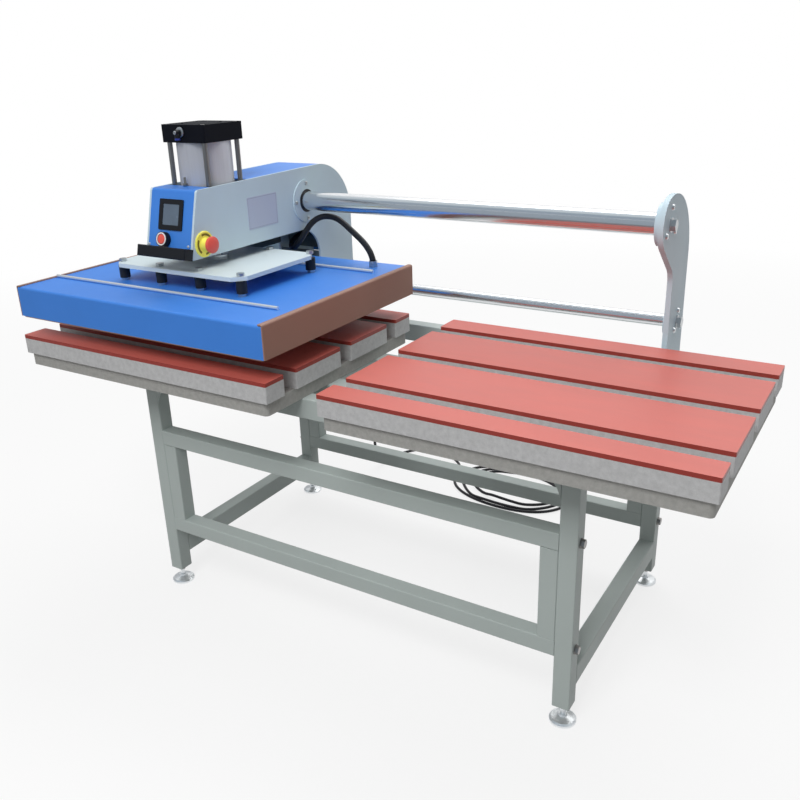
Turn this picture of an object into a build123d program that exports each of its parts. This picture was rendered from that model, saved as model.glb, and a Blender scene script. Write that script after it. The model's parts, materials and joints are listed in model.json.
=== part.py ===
from build123d import *
import os
from math import asin, atan2, cos, degrees, hypot, radians, sin, tan

os.makedirs("parts", exist_ok=True)

# Dual station heat press, in millimetres. X runs to the operator's right, Y to the
# back and Z up. The origin is on the floor, under the middle of the press.

# Stand of square tube
stand_length = 1184.0
front_leg_y = -247.5
rear_leg_y = 367.5
stand_top = 650.0
leg_foot_z = 45.0
tube = 40.0
rail_height = 50.0
tube_wall = 2.5
tube_corner = 3.0
side_rail_heights = (194.0, 452.0)
low_rail_height = 113.0
bearer_places = (-142.5, 67.5)
tie_x = 94.0
gusset_size = 50.0
gusset_edge = 2.5
gusset_thickness = 5.0
leg_plug_thickness = 6.0

# Levelling feet
foot_radius = 30.0
foot_rim = 5.0
foot_dome = 13.0
foot_hub_radius = 10.0
stem_radius = 6.0
stem_top = 90.0
lock_nut_flats = 19.0
lock_nut_height = 10.0

# Two tables, each a tray with cast slats and silicone pads
table_length = 800.0
table_spacing = 133.0
table_front_y = -397.5
slat_widths = (64.0, 172.0, 164.0, 71.0)
slat_gap = 43.0
slat_height = 39.0
slat_wall = 8.0
slat_corner = 3.0
pad_thickness = 9.0
tray_height = 32.0
tray_inset = 7.0
tray_wall = 5.0
tray_corner = 10.0

# Heating head, hung on the piston rod over the left table
press_stroke = 50.0
closed_gap = 1.0
cover_length = 796.0
cover_width = 608.0
cover_height = 75.0
cover_sheet = 2.0
cover_corner = 6.0
end_cap_thickness = 3.0
end_cap_lip = 12.0
platen_end_gap = 8.0
platen_side_gap = 5.0
platen_thickness = 25.0
skirt_lift = 3.0
insulation_inset = 6.0
trim_rod_radius = 4.0
trim_rod_front = 115.5
trim_rod_back = 111.0
trim_rod_end_gap = 50.0
mount_plate_size = (425.0, 300.0)
mount_plate_shift = -4.5
mount_plate_thickness = 10.0
mount_plate_corner = 28.0
standoff_height = 31.0
standoff_radius = 13.0
standoff_pitch = 130.0
standoff_front = 130.0
standoff_back = 135.0
mount_bolt_radius = 5.0
mount_nut_flats = 17.0
mount_nut_height = 7.0
port_end_inset = 88.0
port_back_inset = 51.0
hose_radius = 8.0
connector_radius = 12.0
connector_height = 16.0
hose_socket = 5.0
hose_seat = 3.0
hose_fit = 1.5
hose_straight = 29.5
hose_pass_gap = 2.5
hose_pass_reach = 100.5
hose_pass_drop = 2.0

# Carriage arm of two side plates on the guide rods
belly_clearance = 29.0
arm_width = 150.0
arm_plate = 6.0
arm_sheet = 2.0
arm_front_reach = 160.0
brow_reach = 118.0
brow_height = 157.0
crown_height = 165.0
crown_offset = 62.0
hump_radius = 147.0
heel_radius = 79.0
elbow_radius = 80.0
nose_radius = 8.0
panel_bottom = 24.0
cover_back_bottom = 110.0
valve_box_height = 90.0
hose_gland_length = 14.0

# Guide rods and end plates
upper_rod_reach = 290.0
upper_rod_rise = 76.0
upper_rod_radius = 25.0
lower_rod_rise = 31.0
lower_rod_radius = 15.0
slide_stop_gap = 50.0
running_gap = 0.3
bearing_wall = 13.0
wiper_width = 5.0
wiper_proud = 4.0
flange_thickness = 3.0
upper_flange_radius = 57.0
lower_flange_radius = 36.0
end_plate_thickness = 12.0
end_plate_head = 62.0
end_plate_bottom = 560.0
end_plate_front = 75.0
end_plate_back = 60.0
neck_drop = 119.0
neck_fillet = 45.0
back_arc_shift = 17.0
back_arc_drop = 100.0
collar_thickness = 12.0
collar_margin = 22.0
collar_screws = 3
collar_screw_radius = 4.0
collar_screw_edge = 9.0
rod_bolt_radius = 8.0
rod_bolt_depth = 32.0
rod_bolt_head = 10.0
rod_bolt_flats = 24.0
rod_bolt_washer = 16.0
collar_screw_head = 7.0
thread_share = 0.9

# Air cylinder
cylinder_square = 136.0
cylinder_base_height = 36.0
cylinder_base_drop = 17.0
cylinder_bore = 125.0
cylinder_tube_wall = 2.75
cylinder_tube_length = 117.0
cylinder_cap_height = 41.0
cylinder_corner = 5.0
cap_recess_radius = 50.0
cap_recess_width = 6.0
cap_recess_depth = 3.0
tie_rod_radius = 6.0
tie_rod_inset = 12.0
tie_nut_flats = 17.0
tie_nut_height = 9.0
piston_thickness = 22.0
piston_top_gap = 21.0
piston_rod_radius = 16.0
fitting_radius = 8.0
fitting_offset = (-5.0, 24.0)
fitting_out = 20.0
fitting_drop = 22.0
needle_radius = 3.0
needle_height = 21.0
needle_nut_radius = 5.5
needle_nut_height = 7.0
needle_shift = -2.5
needle_lead = 9.0

# Control panel, start button, emergency stop and pull handle
bezel_size = (76.0, 72.0)
bezel_up = 103.0
bezel_thickness = 3.0
screen_size = (52.0, 49.0)
screen_thickness = 1.6
controller_inset = 5.0
controller_depth = 42.0
button_place = (-13.0, 44.0)
button_radius = 17.5
button_height = 15.0
button_bore = 11.5
button_neck = 10.8
button_depth = 30.0
button_floor = 2.0
button_travel = 3.0
estop_back = 47.5
estop_up = 32.0
estop_ring_radius = 31.0
estop_ring_thickness = 3.0
estop_neck_radius = 14.0
estop_neck_height = 14.0
estop_body_radius = 11.0
estop_body_depth = 34.0
estop_stem_radius = 7.0
estop_head_radius = 20.0
estop_head_height = 12.0
estop_out = 33.0
estop_travel = 4.0
handle_length = 156.0
handle_height = 27.0
handle_depth = 12.0
handle_reach = 28.0
handle_post = 10.0

# Cord, with its gland on the back of the arm
cord_radius = 4.75
cord_gland_radius = 11.0
cord_gland_length = 24.0
gland_rise = 89.0
coil_centre = (48.0, 697.5)
coil_outer = (220.0, 130.5)
coil_inner = (158.0, 74.0)
coil_height = 21.0
cord_straight = 36.5
cord_foot_reach = (6.0, 226.5, 13.0)
coil_join = (195.0, 55.0)
plug_size = (52.0, 36.0, 26.0)
pin_radius = 2.4
pin_spacing = 19.0
pin_length = 19.0

# Fasteners of the stand
frame_bolt_radius = 5.0
frame_bolt_flats = 17.0
frame_bolt_head = 7.0
washer_radius = 11.0
washer_thickness = 2.0
bolt_gap = 0.3
plate_bolt_edge = 15.0
plate_bolt_side = 18.0

# Values that follow from the sizes above
leg_outer = stand_length / 2
leg_x = leg_outer - tube / 2
leg_inner = leg_outer - tube
leg_rows = (front_leg_y, rear_leg_y)
leg_places = [(side * leg_x, y) for side in (-1, 1) for y in leg_rows]
rail_z = stand_top - rail_height / 2
table_depth = sum(slat_widths) + slat_gap * (len(slat_widths) - 1)
table_y = table_front_y + table_depth / 2
table_x = (table_spacing + table_length) / 2
slat_bottom = stand_top + tray_height
slat_top = slat_bottom + slat_height
table_top = slat_top + pad_thickness

slide_travel = stand_length - arm_width - 2 * (collar_thickness + slide_stop_gap)
head_x = -slide_travel / 2
platen_bottom = table_top + press_stroke + closed_gap
skirt_bottom = platen_bottom + skirt_lift
cover_top = skirt_bottom + cover_height
mount_bottom = cover_top + mount_nut_height + standoff_height
mount_top = mount_bottom + mount_plate_thickness
belly_z = mount_top + belly_clearance
arm_outer = arm_width / 2
arm_inner = arm_outer - arm_plate
upper_rod = (table_y + upper_rod_reach, belly_z + upper_rod_rise)
hump_y = upper_rod[0] + crown_offset
hump_z = belly_z + crown_height - hump_radius
arm_back = hump_y + hump_radius
lower_rod = (arm_back - heel_radius, table_top + lower_rod_rise)
heel_front = lower_rod[0] - heel_radius
belly_front = (table_y - arm_front_reach, belly_z)
brow = (table_y - brow_reach, belly_z + brow_height)
base_top = brow[1] - cylinder_base_drop
tube_top = base_top + cylinder_tube_length
cap_top = tube_top + cylinder_cap_height
rods = ((upper_rod, upper_rod_radius), (lower_rod, lower_rod_radius))
front_face = Plane(
    origin=(head_x, *belly_front),
    x_dir=(1, 0, 0),
    z_dir=(0, belly_z - brow[1], brow[0] - belly_front[0]),
)
right_face = Plane(
    origin=(head_x + arm_outer, belly_front[0] + estop_back, belly_z + estop_up),
    x_dir=(0, 1, 0),
    z_dir=(1, 0, 0),
)


def tube_profile(width, height):
    """A tube's section at each location in use."""
    RectangleRounded(width, height, tube_corner)
    Rectangle(width - 2 * tube_wall, height - 2 * tube_wall, mode=Mode.SUBTRACT)


def facing(side, x, places):
    """Planes at (y, z) places on the faces at x, turned outwards to one side."""
    return [Plane(origin=(side * x, *place), x_dir=(0, side, 0), z_dir=(side, 0, 0)) for place in places]


def hex_bolts(seats, reach):
    """Hexagon bolts with washers, whose shanks go into the seats."""
    with BuildSketch(*seats) as washers:
        Circle(washer_radius)
    extrude(washers.sketch, amount=washer_thickness)
    with BuildSketch(*[seat.offset(washer_thickness) for seat in seats]) as heads:
        RegularPolygon(frame_bolt_flats / 2, 6, major_radius=False)
    extrude(heads.sketch, amount=frame_bolt_head)
    with BuildSketch(*seats) as shanks:
        Circle(frame_bolt_radius)
    extrude(shanks.sketch, amount=-reach)


# Stand
leg_bolt_places = [(y, z) for y in leg_rows for z in side_rail_heights]
plate_bolt_places = [
    (rear_leg_y - tube / 4, stand_top - plate_bolt_edge),
    (rear_leg_y - tube / 4, end_plate_bottom + plate_bolt_edge),
    (lower_rod[0] - end_plate_front + plate_bolt_side, rail_z),
]
leg_bolts = [seat for side in (-1, 1) for seat in facing(side, leg_outer, leg_bolt_places)]
plate_bolts = [
    seat
    for side in (-1, 1)
    for seat in facing(side, leg_outer + end_plate_thickness, plate_bolt_places)
]

with BuildPart() as legs:
    with BuildSketch(Plane.XY.offset(leg_foot_z)):
        with Locations(*leg_places):
            tube_profile(tube, tube)
    extrude(amount=stand_top - leg_foot_z)
    with BuildSketch(Plane.XY.offset(leg_foot_z)):
        with Locations(*leg_places):
            Rectangle(tube - 2 * tube_wall, tube - 2 * tube_wall)
            Circle(stem_radius + bolt_gap, mode=Mode.SUBTRACT)
    extrude(amount=leg_plug_thickness)
    for face_y, inwards in ((front_leg_y - tube / 2, -1), (rear_leg_y + tube / 2, 1)):
        with BuildSketch(Plane.XZ.offset(-face_y)):
            for side in (-1, 1):
                corner_x = side * leg_inner
                corner_z = stand_top - rail_height
                with Locations((corner_x - side * gusset_size / 2, corner_z - gusset_size / 2)):
                    Rectangle(gusset_size, gusset_size)
                with Locations((corner_x - side * gusset_size, corner_z - gusset_size)):
                    Circle(gusset_size - gusset_edge, mode=Mode.SUBTRACT)
        extrude(amount=inwards * gusset_thickness)
    with Locations(*leg_bolts, *plate_bolts):
        Hole(frame_bolt_radius + bolt_gap, depth=tube + end_plate_thickness + 1)
legs.part.label = "legs"
export_step(legs.part, "parts/legs.step")

with BuildPart() as lower_rails:
    with BuildSketch(Plane.YZ.offset(-leg_inner)):
        with Locations(*leg_bolt_places):
            tube_profile(tube, tube)
    extrude(amount=2 * leg_inner)
    with BuildSketch(Plane.XZ.offset(-front_leg_y - tube / 2)):
        with Locations((-leg_x, low_rail_height), (leg_x, low_rail_height)):
            tube_profile(tube, rail_height)
    extrude(amount=front_leg_y - rear_leg_y + tube)
lower_rails.part.label = "lower_rails"
export_step(lower_rails.part, "parts/lower_rails.step")

with BuildPart() as side_uprights:
    with BuildSketch(Plane.XY.offset(side_rail_heights[0] + tube / 2)):
        with Locations(*[(side * (leg_inner - tube / 2), y) for side in (-1, 1) for y in leg_rows]):
            tube_profile(tube, tube)
    extrude(amount=side_rail_heights[1] - side_rail_heights[0] - tube)
side_uprights.part.label = "side_uprights"
export_step(side_uprights.part, "parts/side_uprights.step")

with BuildPart() as top_rails:
    with BuildSketch(Plane.YZ.offset(-leg_inner)):
        with Locations((front_leg_y, rail_z), (rear_leg_y, rail_z)):
            tube_profile(tube, rail_height)
    extrude(amount=2 * leg_inner)
    with BuildSketch(Plane.XZ.offset(-front_leg_y - tube / 2)):
        with Locations((-leg_x, rail_z), (leg_x, rail_z)):
            tube_profile(tube, rail_height)
    extrude(amount=front_leg_y - rear_leg_y + tube)
    with Locations(*plate_bolts):
        Hole(frame_bolt_radius + bolt_gap, depth=tube + end_plate_thickness + 1)
top_rails.part.label = "top_rails"
export_step(top_rails.part, "parts/top_rails.step")

with BuildPart() as table_bearers:
    with BuildSketch(Plane.YZ.offset(-leg_inner)):
        with Locations(*[(y, rail_z) for y in bearer_places]):
            tube_profile(rail_height, rail_height)
    extrude(amount=2 * leg_inner)
    with BuildSketch(Plane.XZ.offset(-bearer_places[0] - rail_height / 2)):
        with Locations((-tie_x, rail_z), (tie_x, rail_z)):
            tube_profile(tube, rail_height)
    extrude(amount=bearer_places[0] - bearer_places[1] + rail_height)
table_bearers.part.label = "table_bearers"
export_step(table_bearers.part, "parts/table_bearers.step")

with BuildPart() as stand_fasteners:
    hex_bolts(leg_bolts, tube + tube / 4)
    hex_bolts(plate_bolts, end_plate_thickness + tube / 2)
    with BuildSketch(Plane.XY.offset(leg_foot_z)):
        with Locations(*leg_places):
            RegularPolygon(lock_nut_flats / 2, 6, major_radius=False)
            Circle(stem_radius + bolt_gap, mode=Mode.SUBTRACT)
    extrude(amount=-lock_nut_height)
stand_fasteners.part.label = "stand_fasteners"
export_step(stand_fasteners.part, "parts/stand_fasteners.step")

foot_names = ("left_front", "left_rear", "right_front", "right_rear")
for foot_name, (foot_x, foot_y) in zip(foot_names, leg_places):
    with BuildPart() as foot:
        with BuildSketch(Plane(origin=(foot_x, foot_y, 0), x_dir=(1, 0, 0), z_dir=(0, -1, 0))):
            with BuildLine():
                Polyline(
                    (0, stem_top),
                    (0, 0),
                    (foot_radius, 0),
                    (foot_radius, foot_rim),
                    (foot_radius - 4, foot_rim + 3),
                )
                Line((foot_hub_radius, foot_dome), (foot_hub_radius, foot_dome + 5))
                Spline(
                    (foot_radius - 4, foot_rim + 3),
                    (foot_hub_radius, foot_dome),
                    tangents=((-1, 0.25), (-1, 0.6)),
                )
                Polyline(
                    (foot_hub_radius, foot_dome + 5),
                    (stem_radius, foot_dome + 5),
                    (stem_radius, stem_top),
                    (0, stem_top),
                )
            make_face()
        revolve(axis=Axis((foot_x, foot_y, 0), (0, 0, 1)))
    foot.part.label = f"foot_{foot_name}"
    export_step(foot.part, f"parts/foot_{foot_name}.step")

# Tables
slat_centres = [
    table_front_y + sum(slat_widths[:index]) + slat_gap * index + width / 2
    for index, width in enumerate(slat_widths)
]
tray_length = table_length - 2 * tray_inset
tray_depth = table_depth - 2 * tray_inset
for side, side_name in ((-1, "left"), (1, "right")):
    middle_x = side * table_x
    with BuildPart() as tray:
        with BuildSketch(Plane.XY.offset(stand_top)):
            with Locations((middle_x, table_y)):
                RectangleRounded(tray_length, tray_depth, tray_corner)
        extrude(amount=tray_height)
        with BuildSketch(Plane.XY.offset(stand_top)):
            with Locations((middle_x, table_y)):
                RectangleRounded(
                    tray_length - 2 * tray_wall, tray_depth - 2 * tray_wall, tray_corner - tray_wall
                )
            with Locations((side * leg_x, table_y), (side * tie_x, table_y)):
                Rectangle(tube, tray_depth, mode=Mode.SUBTRACT)
        extrude(amount=tray_height - tray_wall, mode=Mode.SUBTRACT)
    tray.part.label = f"table_tray_{side_name}"
    export_step(tray.part, f"parts/table_tray_{side_name}.step")

    with BuildPart() as slats:
        with BuildSketch(Plane.XY.offset(slat_bottom)):
            for centre, width in zip(slat_centres, slat_widths):
                with Locations((middle_x, centre)):
                    RectangleRounded(table_length, width, slat_corner)
        extrude(amount=slat_height)
        with BuildSketch(Plane.XY.offset(slat_bottom)):
            for centre, width in zip(slat_centres, slat_widths):
                with Locations((middle_x, centre)):
                    Rectangle(table_length - 2 * slat_wall, width - 2 * slat_wall)
        extrude(amount=slat_height - slat_wall, mode=Mode.SUBTRACT)
    slats.part.label = f"table_slats_{side_name}"
    export_step(slats.part, f"parts/table_slats_{side_name}.step")

    with BuildPart() as pads:
        with BuildSketch(Plane.XY.offset(slat_top)):
            for centre, width in zip(slat_centres, slat_widths):
                with Locations((middle_x, centre)):
                    RectangleRounded(table_length, width, slat_corner)
        extrude(amount=pad_thickness)
    pads.part.label = f"silicone_pads_{side_name}"
    export_step(pads.part, f"parts/silicone_pads_{side_name}.step")

# End plates, guide rods and what holds them
plate_neck = (lower_rod[0] - end_plate_front, upper_rod[1] - neck_drop)
plate_back_y = lower_rod[0] + end_plate_back
back_centre = (upper_rod[0] + back_arc_shift, upper_rod[1] - back_arc_drop)
back_radius = end_plate_head + hypot(back_arc_shift, back_arc_drop)
crown_angle = degrees(atan2(back_arc_drop, -back_arc_shift))
neck_run = (upper_rod[0] - plate_neck[0], upper_rod[1] - plate_neck[1])
neck_distance = hypot(*neck_run)
neck_angle = degrees(atan2(neck_run[1], neck_run[0]) + asin(end_plate_head / neck_distance)) + 90

collar_screw_angles = [90 + 360 / collar_screws * step for step in range(collar_screws)]


def collar_screw_places(rod, rod_radius):
    """Screw places round a rod's end, as (y, z)."""
    ring = rod_radius + collar_margin - collar_screw_edge
    return [
        (rod[0] + ring * cos(radians(angle)), rod[1] + ring * sin(radians(angle)))
        for angle in collar_screw_angles
    ]


plate_outer = leg_outer + end_plate_thickness
collar_screw_seats = [
    seat
    for side in (-1, 1)
    for rod, rod_radius in rods
    for seat in facing(side, plate_outer, collar_screw_places(rod, rod_radius))
]
rod_bolt_seats = [
    seat for side in (-1, 1) for seat in facing(side, plate_outer, [upper_rod, lower_rod])
]

for side, side_name in ((-1, "left"), (1, "right")):
    with BuildPart() as end_plate:
        with BuildSketch(Plane.YZ.offset(side * leg_outer)) as plate_face:
            with BuildLine():
                back_arc = CenterArc(back_centre, back_radius, 0, crown_angle)
                head_arc = CenterArc(upper_rod, end_plate_head, crown_angle, neck_angle - crown_angle)
                Polyline(
                    head_arc @ 1,
                    plate_neck,
                    (plate_neck[0], end_plate_bottom),
                    (plate_back_y, end_plate_bottom),
                    back_arc @ 0,
                )
            make_face()
            fillet(plate_face.vertices().sort_by_distance(Vector(*plate_neck))[0], neck_fillet)
        extrude(amount=side * end_plate_thickness)
        with Locations(*plate_bolts):
            Hole(frame_bolt_radius + bolt_gap, depth=end_plate_thickness)
        with Locations(*collar_screw_seats):
            Hole(collar_screw_radius + bolt_gap, depth=end_plate_thickness)
        with Locations(*rod_bolt_seats):
            Hole(rod_bolt_radius + bolt_gap, depth=end_plate_thickness)
    end_plate.part.label = f"end_plate_{side_name}"
    export_step(end_plate.part, f"parts/end_plate_{side_name}.step")

for rod_name, (rod, rod_radius) in zip(("upper", "lower"), rods):
    with BuildPart() as guide_rod:
        with BuildSketch(Plane.YZ.offset(-leg_outer)):
            with Locations(rod):
                Circle(rod_radius)
        extrude(amount=stand_length)
        with Locations(*[seat.offset(-end_plate_thickness) for seat in rod_bolt_seats]):
            Hole(rod_bolt_radius + bolt_gap, depth=rod_bolt_depth)
    guide_rod.part.label = f"{rod_name}_guide_rod"
    export_step(guide_rod.part, f"parts/{rod_name}_guide_rod.step")

with BuildPart() as rod_collars:
    for side in (-1, 1):
        with BuildSketch(Plane.YZ.offset(side * leg_outer)):
            for rod, rod_radius in rods:
                with Locations(rod):
                    Circle(rod_radius + collar_margin)
                    Circle(rod_radius, mode=Mode.SUBTRACT)
        extrude(amount=-side * collar_thickness)
    with Locations(*collar_screw_seats):
        Hole(collar_screw_radius + bolt_gap, depth=end_plate_thickness + collar_thickness)
rod_collars.part.label = "rod_collars"
export_step(rod_collars.part, "parts/rod_collars.step")

with BuildPart() as rod_end_fasteners:
    with BuildSketch(*rod_bolt_seats):
        Circle(rod_bolt_washer)
    extrude(amount=washer_thickness)
    with BuildSketch(*[seat.offset(washer_thickness) for seat in rod_bolt_seats]):
        RegularPolygon(rod_bolt_flats / 2, 6, major_radius=False)
    extrude(amount=rod_bolt_head)
    with BuildSketch(*rod_bolt_seats):
        Circle(rod_bolt_radius)
    extrude(amount=-end_plate_thickness - thread_share * rod_bolt_depth)
    with BuildSketch(*collar_screw_seats):
        Circle(collar_screw_head)
    extrude(amount=collar_screw_radius, taper=20)
    with BuildSketch(*collar_screw_seats):
        Circle(collar_screw_radius)
    extrude(amount=-end_plate_thickness - thread_share * collar_thickness)
rod_end_fasteners.part.label = "rod_end_fasteners"
export_step(rod_end_fasteners.part, "parts/rod_end_fasteners.step")


# Carriage arm
def arm_outline():
    """The side plates' outline in a (y, z) sketch."""
    with BuildLine() as outline:
        hump = CenterArc((hump_y, hump_z), hump_radius, 0, 90)
        heel = CenterArc(lower_rod, heel_radius, 180, 180)
        Line(hump @ 0, heel @ 1)
        Polyline(heel @ 0, (heel_front, belly_z), belly_front, brow, hump @ 1)
    make_face(outline.line)


def arm_corners(face, places):
    """Vertices of an arm outline nearest to some (y, z) places."""
    return [face.vertices().sort_by_distance(Vector(*place))[0] for place in places]


for side, side_name in ((-1, "left"), (1, "right")):
    inner_x = head_x + side * arm_inner
    with BuildPart() as side_plate:
        with BuildSketch(Plane.YZ.offset(inner_x)) as plate_face:
            arm_outline()
            fillet(arm_corners(plate_face, [(heel_front, belly_z)]), elbow_radius)
            fillet(arm_corners(plate_face, [belly_front, brow]), nose_radius)
            for rod, rod_radius in rods:
                with Locations(rod):
                    Circle(rod_radius + running_gap + bearing_wall, mode=Mode.SUBTRACT)
        extrude(amount=side * arm_plate)
        if side > 0:
            with Locations(right_face):
                Hole(estop_body_radius + bolt_gap, depth=arm_plate)
    side_plate.part.label = f"side_plate_{side_name}"
    export_step(side_plate.part, f"parts/side_plate_{side_name}.step")

cylinder_front = table_y - cylinder_square / 2
cylinder_back = table_y + cylinder_square / 2
with BuildPart() as front_panel:
    with BuildSketch(Plane.YZ.offset(head_x - arm_inner)) as skin:
        arm_outline()
        fillet(arm_corners(skin, [brow]), nose_radius)
        offset(amount=-arm_sheet, mode=Mode.SUBTRACT)
        with BuildLine():
            Polyline(
                (belly_front[0] - nose_radius, belly_z + panel_bottom),
                (cylinder_front, belly_z + panel_bottom),
                (cylinder_front, cap_top),
                (belly_front[0] - nose_radius, cap_top),
                close=True,
            )
        make_face(mode=Mode.INTERSECT)
    extrude(amount=2 * arm_inner)
    with BuildSketch(front_face):
        with Locations((0, bezel_up)):
            Rectangle(bezel_size[0] - controller_inset, bezel_size[1] - controller_inset)
        with Locations(button_place):
            Circle(button_neck + bolt_gap)
    extrude(amount=-2 * arm_sheet, mode=Mode.SUBTRACT)
front_panel.part.label = "front_panel"
export_step(front_panel.part, "parts/front_panel.step")

gland_place = (arm_back, lower_rod[1] + gland_rise)
with BuildPart() as top_cover:
    with BuildSketch(Plane.YZ.offset(head_x - arm_inner)) as skin:
        arm_outline()
        offset(amount=-arm_sheet, mode=Mode.SUBTRACT)
        with BuildLine():
            Polyline(
                (cylinder_back, upper_rod[1]),
                (lower_rod[0], upper_rod[1]),
                (lower_rod[0], belly_z - cover_back_bottom),
                (arm_back + nose_radius, belly_z - cover_back_bottom),
                (arm_back + nose_radius, cap_top),
                (cylinder_back, cap_top),
                close=True,
            )
        make_face(mode=Mode.INTERSECT)
    extrude(amount=2 * arm_inner)
    with Locations(Plane(origin=(head_x, *gland_place), x_dir=(1, 0, 0), z_dir=(0, 1, 0))):
        Hole(cord_radius + 2, depth=2 * arm_sheet)
top_cover.part.label = "top_cover"
export_step(top_cover.part, "parts/top_cover.step")

with BuildPart() as guide_bearings:
    with BuildSketch(Plane.YZ.offset(head_x - arm_outer)):
        for rod, rod_radius in rods:
            with Locations(rod):
                Circle(rod_radius + running_gap + bearing_wall)
                Circle(rod_radius + running_gap, mode=Mode.SUBTRACT)
    extrude(amount=arm_width)
guide_bearings.part.label = "guide_bearings"
export_step(guide_bearings.part, "parts/guide_bearings.step")

flange_radii = (upper_flange_radius, lower_flange_radius)
with BuildPart() as bearing_flanges:
    for side in (-1, 1):
        with BuildSketch(Plane.YZ.offset(head_x + side * arm_outer)):
            for (rod, rod_radius), flange_radius in zip(rods, flange_radii):
                with Locations(rod):
                    Circle(flange_radius)
                    Circle(rod_radius + running_gap + wiper_width, mode=Mode.SUBTRACT)
        extrude(amount=side * flange_thickness)
bearing_flanges.part.label = "bearing_flanges"
export_step(bearing_flanges.part, "parts/bearing_flanges.step")

with BuildPart() as rod_wipers:
    for side in (-1, 1):
        with BuildSketch(Plane.YZ.offset(head_x + side * arm_outer)):
            for rod, rod_radius in rods:
                with Locations(rod):
                    Circle(rod_radius + running_gap + wiper_width)
                    Circle(rod_radius + running_gap, mode=Mode.SUBTRACT)
        extrude(amount=side * wiper_proud)
rod_wipers.part.label = "rod_wipers"
export_step(rod_wipers.part, "parts/rod_wipers.step")

valve_box_front = heel_front + tube
valve_box_bottom = belly_z - elbow_radius + nose_radius
hose_gland_place = (head_x, valve_box_front, belly_z - elbow_radius / 2 + nose_radius)
with BuildPart() as valve_box:
    with BuildSketch(Plane.XY.offset(valve_box_bottom)):
        with Locations((head_x, (valve_box_front + arm_back - arm_sheet) / 2)):
            Rectangle(2 * arm_inner, arm_back - arm_sheet - valve_box_front)
    extrude(amount=valve_box_height)
    with BuildSketch(Plane(origin=hose_gland_place, x_dir=(1, 0, 0), z_dir=(0, -1, 0))):
        Circle(connector_radius)
    extrude(amount=hose_gland_length)
valve_box.part.label = "valve_box"
export_step(valve_box.part, "parts/valve_box.step")

# Air cylinder
tie_offset = cylinder_square / 2 - tie_rod_inset
cylinder_axis = (head_x, table_y)
with BuildPart() as cylinder_base:
    with BuildSketch(Plane.XY.offset(base_top)):
        with Locations(cylinder_axis):
            Rectangle(2 * arm_inner, cylinder_square)
            Circle(piston_rod_radius + running_gap, mode=Mode.SUBTRACT)
            with GridLocations(2 * tie_offset, 2 * tie_offset, 2, 2):
                Circle(tie_rod_radius + bolt_gap, mode=Mode.SUBTRACT)
    extrude(amount=-cylinder_base_height)
cylinder_base.part.label = "cylinder_base"
export_step(cylinder_base.part, "parts/cylinder_base.step")

with BuildPart() as cylinder_tube:
    with BuildSketch(Plane.XY.offset(base_top)):
        with Locations(cylinder_axis):
            Circle(cylinder_bore / 2 + cylinder_tube_wall)
            Circle(cylinder_bore / 2, mode=Mode.SUBTRACT)
    extrude(amount=cylinder_tube_length)
cylinder_tube.part.label = "cylinder_tube"
export_step(cylinder_tube.part, "parts/cylinder_tube.step")

fitting_face = Plane(
    origin=(head_x + fitting_offset[0], cylinder_front, tube_top + fitting_offset[1]),
    x_dir=(1, 0, 0),
    z_dir=(0, -1, 0),
)
with BuildPart() as cylinder_cap:
    with BuildSketch(Plane.XY.offset(tube_top)):
        with Locations(cylinder_axis):
            RectangleRounded(cylinder_square, cylinder_square, cylinder_corner)
            with GridLocations(2 * tie_offset, 2 * tie_offset, 2, 2):
                Circle(tie_rod_radius + bolt_gap, mode=Mode.SUBTRACT)
    extrude(amount=cylinder_cap_height)
    with BuildSketch(Plane.XY.offset(cap_top)):
        with Locations(cylinder_axis):
            Circle(cap_recess_radius)
            Circle(cap_recess_radius - cap_recess_width, mode=Mode.SUBTRACT)
            with GridLocations(2 * tie_offset, 2 * tie_offset, 2, 2):
                Circle(tie_nut_flats / 2 + 1.5)
    extrude(amount=-cap_recess_depth, mode=Mode.SUBTRACT)
    with Locations(fitting_face):
        Hole(fitting_radius - 2, depth=cylinder_corner)
cylinder_cap.part.label = "cylinder_cap"
export_step(cylinder_cap.part, "parts/cylinder_cap.step")

tie_bottom = base_top - cylinder_base_height
with BuildPart() as cylinder_tie_rods:
    with BuildSketch(Plane.XY.offset(tie_bottom - tie_nut_height)):
        with Locations(cylinder_axis):
            with GridLocations(2 * tie_offset, 2 * tie_offset, 2, 2):
                Circle(tie_rod_radius)
    extrude(amount=cap_top - tie_bottom + tie_nut_height)
    with BuildSketch(Plane.XY.offset(tie_bottom - tie_nut_height)):
        with Locations(cylinder_axis):
            with GridLocations(2 * tie_offset, 2 * tie_offset, 2, 2):
                RegularPolygon(tie_nut_flats / 2, 6, major_radius=False)
    extrude(amount=tie_nut_height)
cylinder_tie_rods.part.label = "cylinder_tie_rods"
export_step(cylinder_tie_rods.part, "parts/cylinder_tie_rods.step")

crown_slope = (hump_z + hump_radius - brow[1]) / (hump_y - brow[0])
needle_y = cylinder_front - needle_lead + needle_radius
needle_foot = brow[1] + crown_slope * (needle_y - brow[0])
needle_seat = Plane(
    origin=(head_x + needle_shift, needle_y, needle_foot),
    x_dir=(1, 0, 0),
    z_dir=(0, -crown_slope, 1),
)
with BuildPart() as air_fitting:
    with BuildSketch(fitting_face):
        Circle(fitting_radius)
    extrude(amount=fitting_out)
    with BuildSketch(fitting_face):
        Circle(fitting_radius - 2 - bolt_gap)
    extrude(amount=-cylinder_corner + bolt_gap)
    elbow_place = fitting_face.offset(fitting_out - fitting_radius + 1).origin
    with BuildSketch(Plane(origin=elbow_place, x_dir=(1, 0, 0), z_dir=(0, 0, -1))):
        Circle(fitting_radius - 1)
    extrude(amount=fitting_drop)
    for radius, height in (
        (needle_nut_radius, needle_nut_height),
        (needle_radius, needle_height),
    ):
        with BuildSketch(needle_seat):
            Circle(radius)
        extrude(amount=height)
air_fitting.part.label = "air_fitting"
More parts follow.
